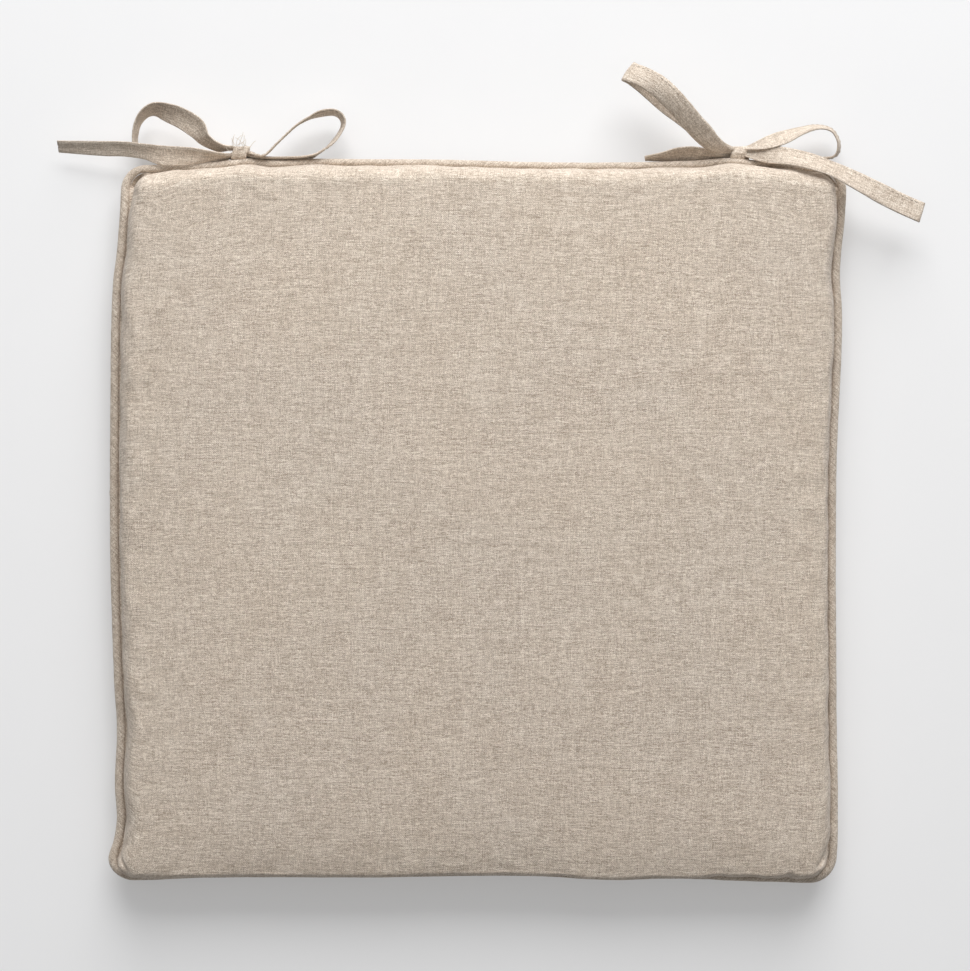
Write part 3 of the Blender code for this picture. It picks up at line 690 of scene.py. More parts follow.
def plated_metal(name, colour):
    """Satin plated zinc, with fine scratches and patchy stains."""
    nodes = Nodes(name)
    place = nodes.add("ShaderNodeTexCoord").outputs["Object"]
    scratches = nodes.noise(nodes.scaled(place, (600.0, 600.0, 6000.0)), 1.0, 3.0, 0.6)
    stain = nodes.noise(nodes.scaled(place, (500.0, 500.0, 500.0)), 1.0, 3.0, 0.6)
    dark = toned(colour, 0.7)
    return nodes.surface(
        Base_Color=nodes.mix(nodes.ramp(stain, 0.3, 0.8), dark, colour),
        Metallic=1.0,
        Roughness=nodes.ramp(scratches, 0.3, 0.7, 0.24, 0.44),
        Normal=nodes.bump(scratches, 0.02 * MM, 0.5),
    )


def foam(name, colour):
    """Open-cell foam, all pores."""
    nodes = Nodes(name)
    place = nodes.millimetres()
    pores = nodes.add("ShaderNodeTexVoronoi", {"Vector": place, "Scale": 0.9})
    cells = pores.outputs["Distance"]
    patches = nodes.noise(place, 0.03, 3.0, 0.5)
    pale = nodes.mix(nodes.ramp(patches, 0.3, 0.7), colour, toned(colour, 0.93))
    return nodes.surface(
        Base_Color=nodes.mix(nodes.ramp(cells, 0.1, 0.6), pale, toned(colour, 0.6)),
        Roughness=0.9,
        Normal=nodes.bump(cells, 0.6 * MM, 0.9),
    )


def fleece(name, colour):
    """Bonded polyester wadding: matted fine fibres."""
    nodes = Nodes(name)
    place = nodes.millimetres()
    strands = nodes.noise(nodes.scaled(place, (0.4, 2.2, 1.2)), 1.0, 4.0, 0.7, 1.5)
    crossing = nodes.noise(nodes.scaled(place, (2.2, 0.4, 1.2)), 1.0, 4.0, 0.7, 1.5)
    tufts = nodes.noise(place, 0.12, 3.0, 0.6)
    height = nodes.math("ADD", nodes.math("MAXIMUM", strands, crossing), tufts)
    return nodes.surface(
        Base_Color=nodes.mix(nodes.ramp(height, 0.8, 1.3), toned(colour, 0.82), colour),
        Roughness=0.95,
        Sheen_Weight=0.4,
        Sheen_Roughness=0.5,
        Normal=nodes.bump(height, 1.2 * MM, 0.8),
    )


def satin(name, colour):
    """Blank woven satin, with its fine ribs."""
    nodes = Nodes(name)
    place = nodes.millimetres()
    ribs = nodes.add(
        "ShaderNodeTexWave",
        {"Vector": place, "Scale": 1.6, "Distortion": 0.4},
        bands_direction="Z",
    ).outputs["Fac"]
    return nodes.surface(
        Base_Color=nodes.mix(ribs, toned(colour, 0.93), colour),
        Roughness=0.42,
        Specular_IOR_Level=0.5,
        Normal=nodes.bump(ribs, 0.04 * MM, 0.6),
    )


def plaster(name, colour):
    """The pale floor."""
    nodes = Nodes(name)
    place = nodes.add("ShaderNodeTexCoord").outputs["Object"]
    soft = nodes.noise(place, 30.0, 3.0, 0.5)
    return nodes.surface(
        Base_Color=nodes.mix(nodes.ramp(soft, 0.3, 0.7), toned(colour, 0.992), colour),
        Roughness=0.85,
        Specular_IOR_Level=0.2,
        Emission_Color=(1.0, 1.0, 1.0),
        Emission_Strength=FLOOR_GLOW,
    )


# ---------------------------------------------------------------- the cover


def mean(by_name):
    return sum(by_name.values()) / len(by_name)


def panel_reach(runs, length):
    """Half the width of a panel's cloth: half its flat, and the rounded edge."""
    return HALF_X - mean(RIM_INSET) - mean(runs) + length


def cloth_nodes(step=1):
    """Places across a panel, from -1 to 1 at its seams, closer together near the seams."""
    reach = panel_reach(TOP_RUN, TOP_LENGTH)
    places, spacing = [0.0], FINE_SPACING
    while places[-1] < reach or (len(places) - 1) % 2:
        places.append(places[-1] + spacing)
        if places[-1] > FINE_SPAN:
            spacing = min(spacing * SPACING_GROWTH, COARSE_SPACING)
    half = np.array(places) / places[-1]
    return np.concatenate([half - 1, (1 - half)[::-1][1:]])[::step]


def ring_point(inset, corner, q, long_side_y):
    """Plan places and outward normals on rounded rectangles inset from the piping's outside.

    q is 0 in the middle of a side and 1 at the middle of its corner's arc.
    """
    half_x, half_y = HALF_X - inset, HALF_Y - inset
    reach = np.where(long_side_y, half_x, half_y)
    depth = np.where(long_side_y, half_y, half_x)
    straight = reach - corner
    arc = corner * math.pi / 4
    run = q * (straight + arc)
    angle = np.maximum(run - straight, 0) / np.maximum(corner, 1e-6)
    along = np.where(run <= straight, run, straight + corner * np.sin(angle))
    out = np.where(run <= straight, depth, depth - corner + corner * np.cos(angle))
    x = np.where(long_side_y, along, out)
    y = np.where(long_side_y, out, along)
    normal_x = np.where(long_side_y, np.sin(angle), np.cos(angle))
    normal_y = np.where(long_side_y, np.cos(angle), np.sin(angle))
    return x, y, normal_x, normal_y


def edge_profile(run, full, fullness):
    """How a rounded edge goes in and up from its seam, by the share of its length."""
    turn = np.linspace(0, math.pi / 2, 160)
    inward = 1 - np.cos(turn) ** (2 / fullness)
    up = np.sin(turn) ** (2 / fullness)
    lengths = running_length(np.hypot(run * np.diff(inward), full * np.diff(up)))
    return lengths / lengths[-1], inward, up


def by_corner(values, signs):
    """Each point's value for its corner, by the signs of its x and y."""
    return sum(amount * ((signs == key).all(1)) for key, amount in values.items())


def face_points(nodes, side, rims, runs, bulges, length, fullness, depth=0.0):
    """One face of the pad, or of a layer inside it: a square of cloth with its edges turned over.

    side is 1 for the upper face and -1 for the lower one. Returns points, row by row.
    """
    a, b = grid_of(nodes, nodes)
    rim, run = mean(rims) + depth, mean(runs) - depth
    reach = HALF_X - rim - run + length
    rank = np.maximum(np.abs(a), np.abs(b))
    share = np.minimum(np.abs(a), np.abs(b)) / np.maximum(rank, 1e-9)
    on_long = np.abs(b) >= np.abs(a)

    full = (THICKNESS - SEAM_Z if side > 0 else SEAM_Z) - depth
    lengths, inward, up = edge_profile(run, full, fullness)
    step = np.clip((1 - rank) * reach / length, 0, 1)
    curl = np.interp(step, lengths, inward)
    rise = np.interp(step, lengths, up)
    flat = np.clip(rank * reach / (reach - length), 0, 1)
    inset = rim + run * curl + (HALF_X - rim - run) * (1 - flat)
    corner = np.clip(CORNER_RADIUS - inset, 3 * MM, 0.4 * (HALF_Y - inset) + 0.01 * MM)
    x, y, normal_x, normal_y = ring_point(inset, corner, share, on_long)
    signs = np.stack([np.sign(a), np.sign(b)], 1)
    normals = np.stack([normal_x, normal_y], 1) * signs
    plan = np.stack([x, y], 1) * signs

    swell = BULGE_SHAPE * rise * (1 - rise) ** 2
    plan += normals * (by_side(bulges, normals) * swell)[:, None]
    for axis, place, names in ((0, a, ("left", "right")), (1, b, ("front", "back"))):
        rim_here, run_here = (
            np.where(place > 0, values[names[1]], values[names[0]]) for values in (rims, runs)
        )
        narrower = rim_here - mean(rims) + (run_here - mean(runs)) * curl
        plan[:, axis] -= signs[:, axis] * narrower * place**2
    if side > 0:
        over_seam = np.clip(rise * 4, 0, 1)
        near = smoothstep(CORNER_SHARE, 1.0, share) * smoothstep(0.5, 1.0, flat)
        pull = by_corner(CORNER_PULL, signs) * near * over_seam / math.sqrt(2)
        plan -= signs * pull[:, None]
        start, end, depth_in = FRONT_TUCK
        tuck = smoothstep(start - 0.01, start + 0.012, plan[:, 0])
        tuck *= 1 - smoothstep(end - 0.012, end + 0.004, plan[:, 0])
        uneven = 1 + 0.5 * np.sin(plan[:, 0] * 520) * np.sin(plan[:, 0] * 190)
        at_front = smoothstep(-0.17, -0.19, plan[:, 1])
        plan[:, 1] += depth_in * tuck * uneven * at_front * over_seam
    facing_front = np.clip(-normals[:, 1], 0, 1) ** 2
    seam = SEAM_Z - seam_drop(plan[:, 0], facing_front) * (1 - rise)
    near = smoothstep(0.88, 0.98, share) * smoothstep(0.8, 1.0, flat)
    seam = seam - by_corner(CORNER_DROP, signs) * near * (1 - rise) ** 1.5
    return np.column_stack([plan, seam + side * full * rise])


def upper_face(nodes, depth=0.0):
    length = TOP_LENGTH - depth
    points = face_points(nodes, 1, RIM_INSET, TOP_RUN, TOP_BULGE, length, TOP_FULLNESS, depth)
    return stray(crowned(points))


def lower_face(nodes, depth=0.0):
    length = BOTTOM_LENGTH - depth
    points = face_points(
        nodes, -1, RIM_INSET, BOTTOM_RUN, BOTTOM_BULGE, length, BOTTOM_FULLNESS, depth
    )
    return stray(points)


def crowned(points):
    """Adds the crown of the filling, its slow dents and its sagging edges to an upper face."""
    x, y = points[:, 0] / HALF_X, points[:, 1] / HALF_Y
    dome = np.clip(1 - x**2, 0, 1) * np.clip(1 - y**2, 0, 1)
    shoulder = np.clip(1 - x**8, 0, 1) * np.clip(1 - y**8, 0, 1)
    flat = points * (1, 1, 0)
    dents = sum(depth * ripple(flat, size, seed) for depth, size, seed in DENTS)
    lift = CROWN * (0.75 * dome + 0.25 * shoulder) + dents * shoulder
    distances = {
        "left": points[:, 0] + HALF_X,
        "right": HALF_X - points[:, 0],
        "back": HALF_Y - points[:, 1],
        "front": points[:, 1] + HALF_Y,
    }
    for name, distance in distances.items():
        inward = distance - RIM_INSET[name] + TOP_BULGE[name]
        lift -= EDGE_SAG[name] * np.exp(-np.clip(inward, 0, None) / SAG_REACH)
        lift += EDGE_LIP[name] * np.exp(-((inward / LIP_REACH) ** 2))
    raised = np.clip((points[:, 2] - SEAM_Z) / (THICKNESS - SEAM_Z), 0, 1) ** 2
    points = points.copy()
    points[:, 2] += lift * raised
    return points


def weld_faces(upper, lower, size):
    """Two faces as one closed form that share the upper one's outer points.

    Returns its points and faces, and the index of each point of the lower face.
    """
    index = np.arange(size * size).reshape(size, size)
    rim = np.zeros((size, size), bool)
    rim[0, :] = rim[-1, :] = rim[:, 0] = rim[:, -1] = True
    lower_index = index.copy()
    lower_index[~rim] = size * size + np.arange((~rim).sum())
    lower_index = lower_index.ravel()
    points = np.concatenate([upper, lower[~rim.ravel()]])
    below = [[lower_index[v] for v in face] for face in grid_faces(size, size, flip=True)]
    return points, grid_faces(size, size) + below, lower_index


def soften(points, rest, limit):
    """Keeps each point within a limit of where it started, without a sudden stop."""
    move = points - rest
    length = np.linalg.norm(move, axis=1)
    return rest + move * (limit / (limit + length))[:, None]


def run_cloth(obj, holds):
    """Inflates the closed cover a little, with some cloth to spare."""
    group = obj.vertex_groups.new(name="held")
    for index, weight in enumerate(holds):
        group.add([index], float(weight), "REPLACE")
    cloth = obj.modifiers.new("cloth", "CLOTH")
    settings = cloth.settings
    settings.quality = 6
    settings.mass = 0.25
    settings.tension_stiffness = 12
    settings.compression_stiffness = 8
    settings.shear_stiffness = 4
    settings.bending_stiffness = 0.35
    settings.use_pressure = True
    settings.uniform_pressure_force = CLOTH_PRESSURE
    settings.shrink_min = CLOTH_TO_SPARE
    settings.vertex_group_mass = "held"
    settings.pin_stiffness = 1.2
    settings.effector_weights.gravity = 0.0
    cloth.collision_settings.use_collision = False
    cloth.collision_settings.use_self_collision = False
    scene = bpy.context.scene
    scene.frame_start, scene.frame_end = 1, CLOTH_STEPS
    for number in range(1, CLOTH_STEPS + 1):
        scene.frame_set(number)
    evaluated = obj.evaluated_get(bpy.context.evaluated_depsgraph_get())
    moved = positions(evaluated)
    obj.modifiers.remove(cloth)
    scene.frame_set(1)
    return moved


def cover_holds(nodes):
    """How firmly each point is held in the simulation: sewn at the seam, backed by foam inside."""
    a, b = grid_of(nodes, nodes)
    inward = (1 - np.maximum(np.abs(a), np.abs(b))) * panel_reach(TOP_RUN, TOP_LENGTH)
    firm = 0.10 + 0.55 * smoothstep(TOP_LENGTH * 0.7, TOP_LENGTH * 2.2, inward)
    sewn = inward < 1e-9
    firm[sewn] = 1.0
    return np.concatenate([firm, firm[~sewn]])


def cover_shapes(nodes):
    """The points of the top and bottom panels, after the simulation."""
    size = len(nodes)
    points, faces, lower = weld_faces(upper_face(nodes), lower_face(nodes), size)
    rest = points.copy()
    rest[:, 2] += 0.2 * MM * ripple(rest, 14 * MM, 1)
    blank = mesh_object("cover_blank", rest, faces)
    points = soften(run_cloth(blank, cover_holds(nodes)), points, CLOTH_TRAVEL)
    bpy.data.objects.remove(blank)
    points[:, 2] = np.maximum(points[:, 2], CLOTH_THICKNESS)
    return fold_corners(points[: size * size]), points[lower]


def fold_corners(points):
    """The top panel, with a ridge and a groove along each small fold."""
    for start, end, rise in CORNER_FOLDS:
        run = np.array(end) - start
        length = np.linalg.norm(run)
        along = run / length
        offset = points[:, :2] - start
        reach = offset @ along
        aside = (offset[:, 0] * along[1] - offset[:, 1] * along[0]) * -np.sign(start[0])
        height = FOLD_RIDGE * np.exp(-(((aside - 2.2 * MM) / (1.5 * MM)) ** 2))
        height -= FOLD_GROOVE * np.exp(-((aside / (1.1 * MM)) ** 2))
        height *= smoothstep(-4 * MM, 1 * MM, reach) * smoothstep(-3 * MM, 3 * MM, length - reach)
        points = points + height[:, None] * np.array(rise)
    return points


def zip_cells(points, size):
    """Fits the grid of the bottom panel to the zip's opening.

    Returns the moved points and the first and last row and column of the opening.
    """
    grid = points.reshape(size, size, 3).copy()
    middle = size // 2
    wall = grid[middle, -WALL_COLUMNS:, 2]
    low, high = (size - WALL_COLUMNS + int(np.argmin(np.abs(wall - z))) for z in ZIP_WINDOW_Z)
    left, right = (int(np.argmin(np.abs(grid[:, high, 0] - x))) for x in ZIP_WINDOW_X)
    grid[left : right + 1, high, 2] = ZIP_WINDOW_Z[1]
    grid[left : right + 1, low, 2] = ZIP_WINDOW_Z[0]
    grid[left, low - 1 : high + 2, 0] = ZIP_WINDOW_X[0]
    grid[right, low - 1 : high + 2, 0] = ZIP_WINDOW_X[1]
    return grid.reshape(-1, 3), (left, right), (low, high)


def zip_border(grid, columns, rows):
    """The line of the stitching round the zip's opening, just outside it."""
    low = grid[columns[0] : columns[1] + 1, rows[0] - 1]
    high = grid[columns[0] : columns[1] + 1, rows[1] + 1][::-1]
    right = grid[columns[1], rows[0] - 1 : rows[1] + 2] + (1.5 * MM, 0, 0)
    left = grid[columns[0], rows[0] - 1 : rows[1] + 2][::-1] - (1.5 * MM, 0, 0)
    return np.concatenate([low, right, high, left])


def make_panel(name, points, quads, cloth, material):
    """One linen panel, with the cloth's thickness. cloth is each point's place on flat cloth."""
    panel = mesh_object(name, points, quads, cloth[np.array(quads).ravel()], material=material)
    remove_loose(panel)
    thick = panel.modifiers.new("cloth_thickness", "SOLIDIFY")
    thick.thickness = CLOTH_THICKNESS
    thick.offset = -1
    smoother = panel.modifiers.new("smooth", "SUBSURF")
    smoother.levels = smoother.render_levels = 1
    return panel


def make_cover(material, stitching):
    """The top and bottom panels, shaped together and then parted at the seam."""
    nodes = cloth_nodes()
    size = len(nodes)
    top_points, bottom_points = cover_shapes(nodes)
    a, b = grid_of(nodes, nodes)
    cloth = np.stack([a, b], 1) * panel_reach(TOP_RUN, TOP_LENGTH)
    top = make_panel("cover_top", top_points, grid_faces(size, size), cloth, material)

    bottom_points, columns, rows = zip_cells(bottom_points, size)
    quads = [
        face
        for face in grid_faces(size, size, flip=True)
        if not (
            columns[0] <= min(face) // size < columns[1] and rows[0] <= min(face) % size < rows[1]
        )
    ]
    bottom = make_panel("cover_bottom", bottom_points, quads, cloth, material)
    grid = bottom_points.reshape(size, size, 3)
    border = zip_border(grid, columns, rows)
    outs = np.tile((0.0, 1.0, 0.0), (len(border), 1))
    seam = stitches("zip_topstitching", [(border + outs * 0.1 * MM, outs)], stitching)
    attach(seam, "cushion")
    for panel, node in ((top, "top_panel"), (bottom, "bottom_panel")):
        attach(panel, "cushion")
        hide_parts(node)


def make_wadding(name, face, material):
    """One sheet of wadding, under the top panel or over the bottom one."""
    nodes = cloth_nodes(2)
    size = len(nodes)
    side = 1 if name.endswith("top") else -1
    gap = (0.0, 0.0, side * 0.3 * MM)
    outer, inner = face(nodes, WADDING_OUTER) + gap, face(nodes, WADDING_INNER) + gap
    if side < 0:
        outer = behind_zip(outer, ZIP_CLEARANCE)
        inner = behind_zip(inner, ZIP_CLEARANCE + 2 * MM)
    faces = sheet_faces(size, size, side < 0)
    return mesh_object(name, np.concatenate([outer, inner]), faces, material=material)


def behind_zip(points, clearance):
    """Keeps the wadding behind the zip's tapes."""
    tape_low, tape_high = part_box("zip_tape_lower")
    x, y, z = points.T
    reach = 12 * MM
    span = smoothstep(tape_low.x - reach, tape_low.x, x)
    span *= 1 - smoothstep(tape_high.x, tape_high.x + reach, x)
    excess = np.clip(y - (tape_low.y - clearance), 0, None)
    moved = points.copy()
    moved[:, 1] -= excess * span * (1 - smoothstep(SEAM_Z - 1.5 * MM, SEAM_Z, z))
    return moved


def make_foam(material):
    """The foam slab, with its edges cut a little round."""
    nodes = cloth_nodes(2)
    size = len(nodes)
    rims = dict.fromkeys(TOP_RUN, FOAM_INSET - FOAM_DEPTH)
    runs = dict.fromkeys(TOP_RUN, FOAM_EDGE + FOAM_DEPTH)
    plain = dict.fromkeys(TOP_RUN, 0.0)
    upper, lower = (
        face_points(nodes, side, rims, runs, plain, FOAM_LENGTH, FOAM_FULLNESS, FOAM_DEPTH)
        for side in (1, -1)
    )
    points, faces, _ = weld_faces(stray(crowned(upper)), stray(lower), size)
    return mesh_object("foam_slab", points, faces, material=material)


def make_filling():
    """Everything inside the cover."""
    fleece_material = fleece("wadding_fleece", FLEECE)
    for name, face, node in (
        ("wadding_sheet_top", upper_face, "wadding_top"),
        ("wadding_sheet_bottom", lower_face, "wadding_bottom"),
    ):
        sheet = make_wadding(name, face, fleece_material)
        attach(sheet, "cushion")
        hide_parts(node)
    slab = make_foam(foam("foam_block", FOAM))
    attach(slab, "cushion")
    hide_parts("foam_core")


# ---------------------------------------------------------------- piping


def piping_route(count):
    """The piping's centre line round the pad, with outward normals, starting at the left side."""
    per_side = count // 8
    inset = PIPING_RADIUS
    plan, normals = [], []
    for sign_x, sign_y, long_side_y, order in (
        (-1, 1, False, 1), (-1, 1, True, -1), (1, 1, True, 1), (1, 1, False, -1),
        (1, -1, False, 1), (1, -1, True, -1), (-1, -1, True, 1), (-1, -1, False, -1),
    ):
        q = np.arange(per_side) / per_side
        q = q if order > 0 else 1 - q
        x, y, normal_x, normal_y = ring_point(
            np.full(per_side, inset), np.full(per_side, CORNER_RADIUS - inset), q, long_side_y
        )
        plan.append(np.stack([x * sign_x, y * sign_y], 1))
        normals.append(np.stack([normal_x * sign_x, normal_y * sign_y], 1))
    return np.concatenate(plan), np.concatenate(normals)


def piping_path():
    """The piping's centre line, where it is sewn into the seam, with outward normals."""
    plan, normals = piping_route(PIPING_STEPS)
    facing_front = np.clip(-normals[:, 1], 0, 1) ** 2
    height = SEAM_Z - seam_drop(plan[:, 0], facing_front)
    radii = by_side(PIPING_RADII, normals)
    plan += normals * (PIPING_RADIUS - radii)[:, None]
    path = stray(np.column_stack([plan, height]))
    path[:, 2] += 0.35 * MM * ripple(path, 35 * MM, 11)
    return path, np.column_stack([normals, np.zeros(len(normals))]), radii


def round_tube(name, path, frames, radii, sides, material, twists=0):
    """A closed tube with cloth coordinates along and round it."""
    turns = np.linspace(0, twists * 2 * math.pi, len(path), endpoint=False)[:, None]
    ups = np.cross(unit(np.roll(path, -1, 0) - np.roll(path, 1, 0)), frames)
    turned = frames * np.cos(turns) + ups * np.sin(turns)
    points, faces = tube(path, radii, sides, closed=True, frames=turned)
    along = running_length(np.linalg.norm(np.roll(path, -1, 0) - path, axis=1))
    around = np.arange(sides + 1) / sides * 2 * math.pi * float(np.mean(radii))
    return mesh_object(name, points, faces, cloth_uvs(along, around), material=material)


def make_piping(material):
    """The bias strip round its cord, a little uneven, with the flange sewn into the seam."""
    path, frames, radii = piping_path()
    radii = radii * (1 + 0.05 * ripple(path, 9 * MM, 12) + 0.03 * ripple(path, 3 * MM, 13))
    on_left = path[:, 0] < -0.9 * HALF_X
    from_join = (path[:, 1] - PIPING_JOIN_Y) / (1.3 * MM)
    radii = radii * (1 + 0.13 * on_left * np.exp(-(from_join**2)))
    piping = round_tube("piping_bias", path, frames, radii, 16, material)
    flange = make_flange(path, frames, material)
    join([piping, flange])
    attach(piping, "cushion")
    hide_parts("piping_cover")


def make_flange(path, frames, material):
    """The strip's two raw edges, flat inside the seam."""
    low, high = FLANGE_REACH
    rows = [(low, 0.4), (high, 0.4), (high, -0.4), (low, -0.4)]
    points = np.stack([path - frames * inward + (0, 0, up * MM) for inward, up in rows], 1)
    at_corner = smoothstep(0.1, 0.7, 2 * np.abs(frames[:, 0] * frames[:, 1])) * (frames[:, 1] > 0)
    for column, sunk in enumerate((0.25, 1.0, 1.0, 0.25)):
        points[:, column, 2] -= FLANGE_SINK * sunk * at_corner
    count, sides = points.shape[:2]
    uvs = cloth_uvs(np.arange(count + 1) * FLANGE_STEP, [0.0, 1 * MM, 2 * MM, 3 * MM, 0.0])
    faces = closed_ring_faces(count, sides)
    return mesh_object("flange", points.reshape(-1, 3), faces, uvs, smooth=False, material=material)


def make_piping_cord(material):
    """The three-ply cotton cord inside the piping."""
    path, frames, _ = piping_path()
    sides = 12
    lobes = 1 + 0.09 * np.cos(np.arange(sides) * 2 * math.pi / sides * 3)
    radii = CORD_RADIUS * lobes[None, :] * np.ones((len(path), 1))
    cord = round_tube("piping_cotton_cord", path, frames, radii, sides, material, CORD_TWISTS)
    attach(cord, "cushion")
    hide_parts("piping_cord")


# ---------------------------------------------------------------- ties


def catmull_rom(points, steps):
    """A smooth line through the points, with a number of steps from each to the next."""
    points = np.asarray(points, float)
    padded = np.concatenate([[2 * points[0] - points[1]], points, [2 * points[-1] - points[-2]]])
    out = []
    for a, b, c, d in zip(padded, padded[1:], padded[2:], padded[3:]):
        for t in np.arange(steps) / steps:
            out.append(
                b
                + (c - a) * (t / 2)
                + (2 * a - 5 * b + 4 * c - d) * (t * t / 2)
                + (3 * b - a - 3 * c + d) * (t**3 / 2)
            )
    return np.array([*out, points[-1]])


def ribbon_frames(centres, widths):
    """Unit directions across a strip and out of its face, and its half widths."""
    along = unit(np.gradient(centres, axis=0))
    across = unit(widths - along * np.sum(widths * along, axis=1)[:, None])
    half = np.minimum(np.linalg.norm(widths, axis=1), TIE_WIDTH / 2)
    return across, np.cross(along, across), half


def strip_side(centres, across, out, half, row, lift):
    """One side of a strip: row is each point's share of the half width, lift its height."""
    return (
        centres[:, None]
        + across[:, None] * (half[:, None] * row[None, :])[:, :, None]
        + out[:, None] * lift[..., None]
    )


def make_ribbon(name, knot, stations, cloth, stitching, hemmed, seed):
    """A folded strip of linen with two creased edges and a row of stitches along one of them."""
    stations = np.array(stations) * MM
    into_knot = (0.35, 0.35, 0.35, 0.8, 0.8, 0.8)
    ends = [stations[:1] * into_knot, stations]
    if not hemmed:
        ends.append(stations[-1:] * into_knot)
    stations = np.concatenate(ends)
    centres = catmull_rom(stations[:, :3], 9) + np.array(knot)
    widths = catmull_rom(stations[:, 3:], 9)
    across, out, half = ribbon_frames(centres, widths)
    lengths = arc_lengths(centres)

    profile = np.array([-1.0, -0.93, -0.72, -0.36, 0.0, 0.36, 0.72, 0.93, 1.0])
    crease = 0.34 + 0.22 * np.exp(-(((np.abs(profile) - 0.86) / 0.12) ** 2))
    crease[[0, -1]] = 0.22
    cup = 0.45 * MM * ripple(centres, 16 * MM, seed)
    cup += STRIP_CUP.get(name.replace("_cloth", ""), PLAIN_CUP)
    pinch = np.clip(half / (TIE_WIDTH / 2), 0.2, 1)
    folds = (1 - pinch)[:, None] * 0.9 * MM * np.cos(profile * 2.2 * math.pi)[None, :]
    flutter = 0.18 * MM * ripple(centres, 7 * MM, seed + 20)
    rings = []
    for side, row in ((1, profile), (-1, profile[::-1])):
        thick = crease if side > 0 else crease[::-1]
        lift = cup[:, None] * (1 - row**2)[None, :] * pinch[:, None]
        lift = lift + flutter[:, None] * row[None, :]
        lift = lift + (folds if side > 0 else folds[:, ::-1])
        lift = lift + side * thick[None, :] * MM
        rings.append(strip_side(centres, across, out, half, row, lift))
    points = np.concatenate(rings, 1)
    rows, columns = points.shape[:2]
    across_cloth = np.concatenate([profile, 2 - profile[::-1] + 0.2]) * TIE_WIDTH / 2
    across_cloth = np.append(across_cloth, across_cloth[-1] + 0.1 * TIE_WIDTH)
    uvs = cloth_uvs(lengths, across_cloth) + [(0.0, 0.0)] * (2 * columns)
    faces = grid_faces(rows, columns, wrap=True) + end_caps(rows, columns)
    ribbon = mesh_object(name, points.reshape(-1, 3), faces, uvs, material=cloth)
    rise = (cup * pinch * (1 - STITCH_PLACE**2))[:, None] * out
    line = centres + across * (half * STITCH_PLACE)[:, None] + rise
    rows = [(line + out * side * 0.45 * MM, out * side) for side in (1, -1)]
    join([ribbon, stitches(f"{name}_stitches", rows, stitching)])
    return ribbon, lengths[-1]


def stitches(name, rows, material, pitch=2.9 * MM, length=2.1 * MM, radius=0.15 * MM):
    """Rows of short stitches. Each row is a line on the cloth with its outward directions."""
    lines = []
    for path, outs in rows:
        lengths = arc_lengths(path)
        for start in np.arange(2 * pitch, lengths[-1] - 2 * pitch, pitch):
            at = np.linspace(start, start + length, len(STITCH_ARCH))
            line, out = (
                np.stack([np.interp(at, lengths, part[:, k]) for k in range(3)], 1)
                for part in (path, outs)
            )
            lines.append(line + out * STITCH_ARCH[:, None])
    points, faces = thin_tubes(lines, radius)
    uvs = [(0.0, 0.0)] * sum(len(face) for face in faces)
    return mesh_object(name, points, faces, uvs, material=material)


def join(objects):
    """Joins the objects into the first one, keeping their materials."""
    first = objects[0]
    with bpy.context.temp_override(
        active_object=first, selected_objects=objects, selected_editable_objects=objects
    ):
        bpy.ops.object.join()
    return first


def make_knot(name, centre, size, material, seed):
    """Two turns of the strip bound round the bow, over its gathered core."""
    centre = centre + KNOT_SETTLE
    pieces = [knot_core(name, centre, size * 0.72, material, seed)]
    for number, (shift, lean, radius) in enumerate(KNOT_TURNS):
        angle = np.linspace(-0.5 * math.pi, 1.5 * math.pi, 44)
        swell = radius * (1 + 0.05 * np.sin(3 * angle + seed))
        centres = np.column_stack(
            [shift + lean * np.cos(angle), swell * np.cos(angle), swell * np.sin(angle)]
        )
        centres += np.array(centre)
        centres += 0.35 * MM * ripple(centres, 4 * MM, seed + number)[:, None]
        widths = np.tile((KNOT_TURN_WIDTH / 2, 0.0, 0.0), (len(angle), 1))
        pieces.append(strip_only(f"{name}_turn_{number}", centres, widths, material))
    return join(pieces)


def knot_core(name, centre, size, material, seed):
    """The gathered strips inside a knot."""
    rows, columns = 24, 32
    angle = np.arange(columns) * 2 * math.pi / columns
    grid_x, grid_angle = grid_of(np.linspace(-1, 1, rows), angle)
    barrel = np.clip(1 - np.abs(grid_x) ** 3, 0, 1) ** 0.5
    pleats = 1 + 0.07 * np.cos(grid_angle * 7 + grid_x)
    points = np.stack(
        [
            grid_x * size.x / 2 * 1.2,
            barrel * pleats * np.cos(grid_angle) * size.y / 2,
            barrel * pleats * np.sin(grid_angle) * size.z / 2,
        ],
        1,
    ) + np.array(centre)
    points += 0.3 * MM * ripple(points, 3 * MM, seed)[:, None]
    faces = grid_faces(rows, columns, wrap=True)
    uvs = [(grid_x[v] * size.x / 2, grid_angle[v] * size.z / 2) for face in faces for v in face]
    return mesh_object(name, points, faces, uvs, material=material)


def make_loose_threads(knot, material):
    """A few frayed threads where the left bow is knotted."""
    lines = []
    for number, (x, y, turn, length) in enumerate(LOOSE_THREADS):
        t = np.linspace(0, 1, 7)
        bend = 0.9 * MM * np.sin(t * 3.1 + number)
        line = np.column_stack(
            [
                x * MM + np.cos(turn) * length * MM * t - np.sin(turn) * bend,
                y * MM + np.sin(turn) * length * MM * t + np.cos(turn) * bend,
                (3.2 + 1.2 * np.sin(t * 2.4)) * MM,
            ]
        )
        lines.append(line + np.array(knot))
    points, faces = thin_tubes(lines, LOOSE_THREAD_RADIUS)
    piece = mesh_object("left_knot_threads", points, faces, material=material)
    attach(piece, "cushion")


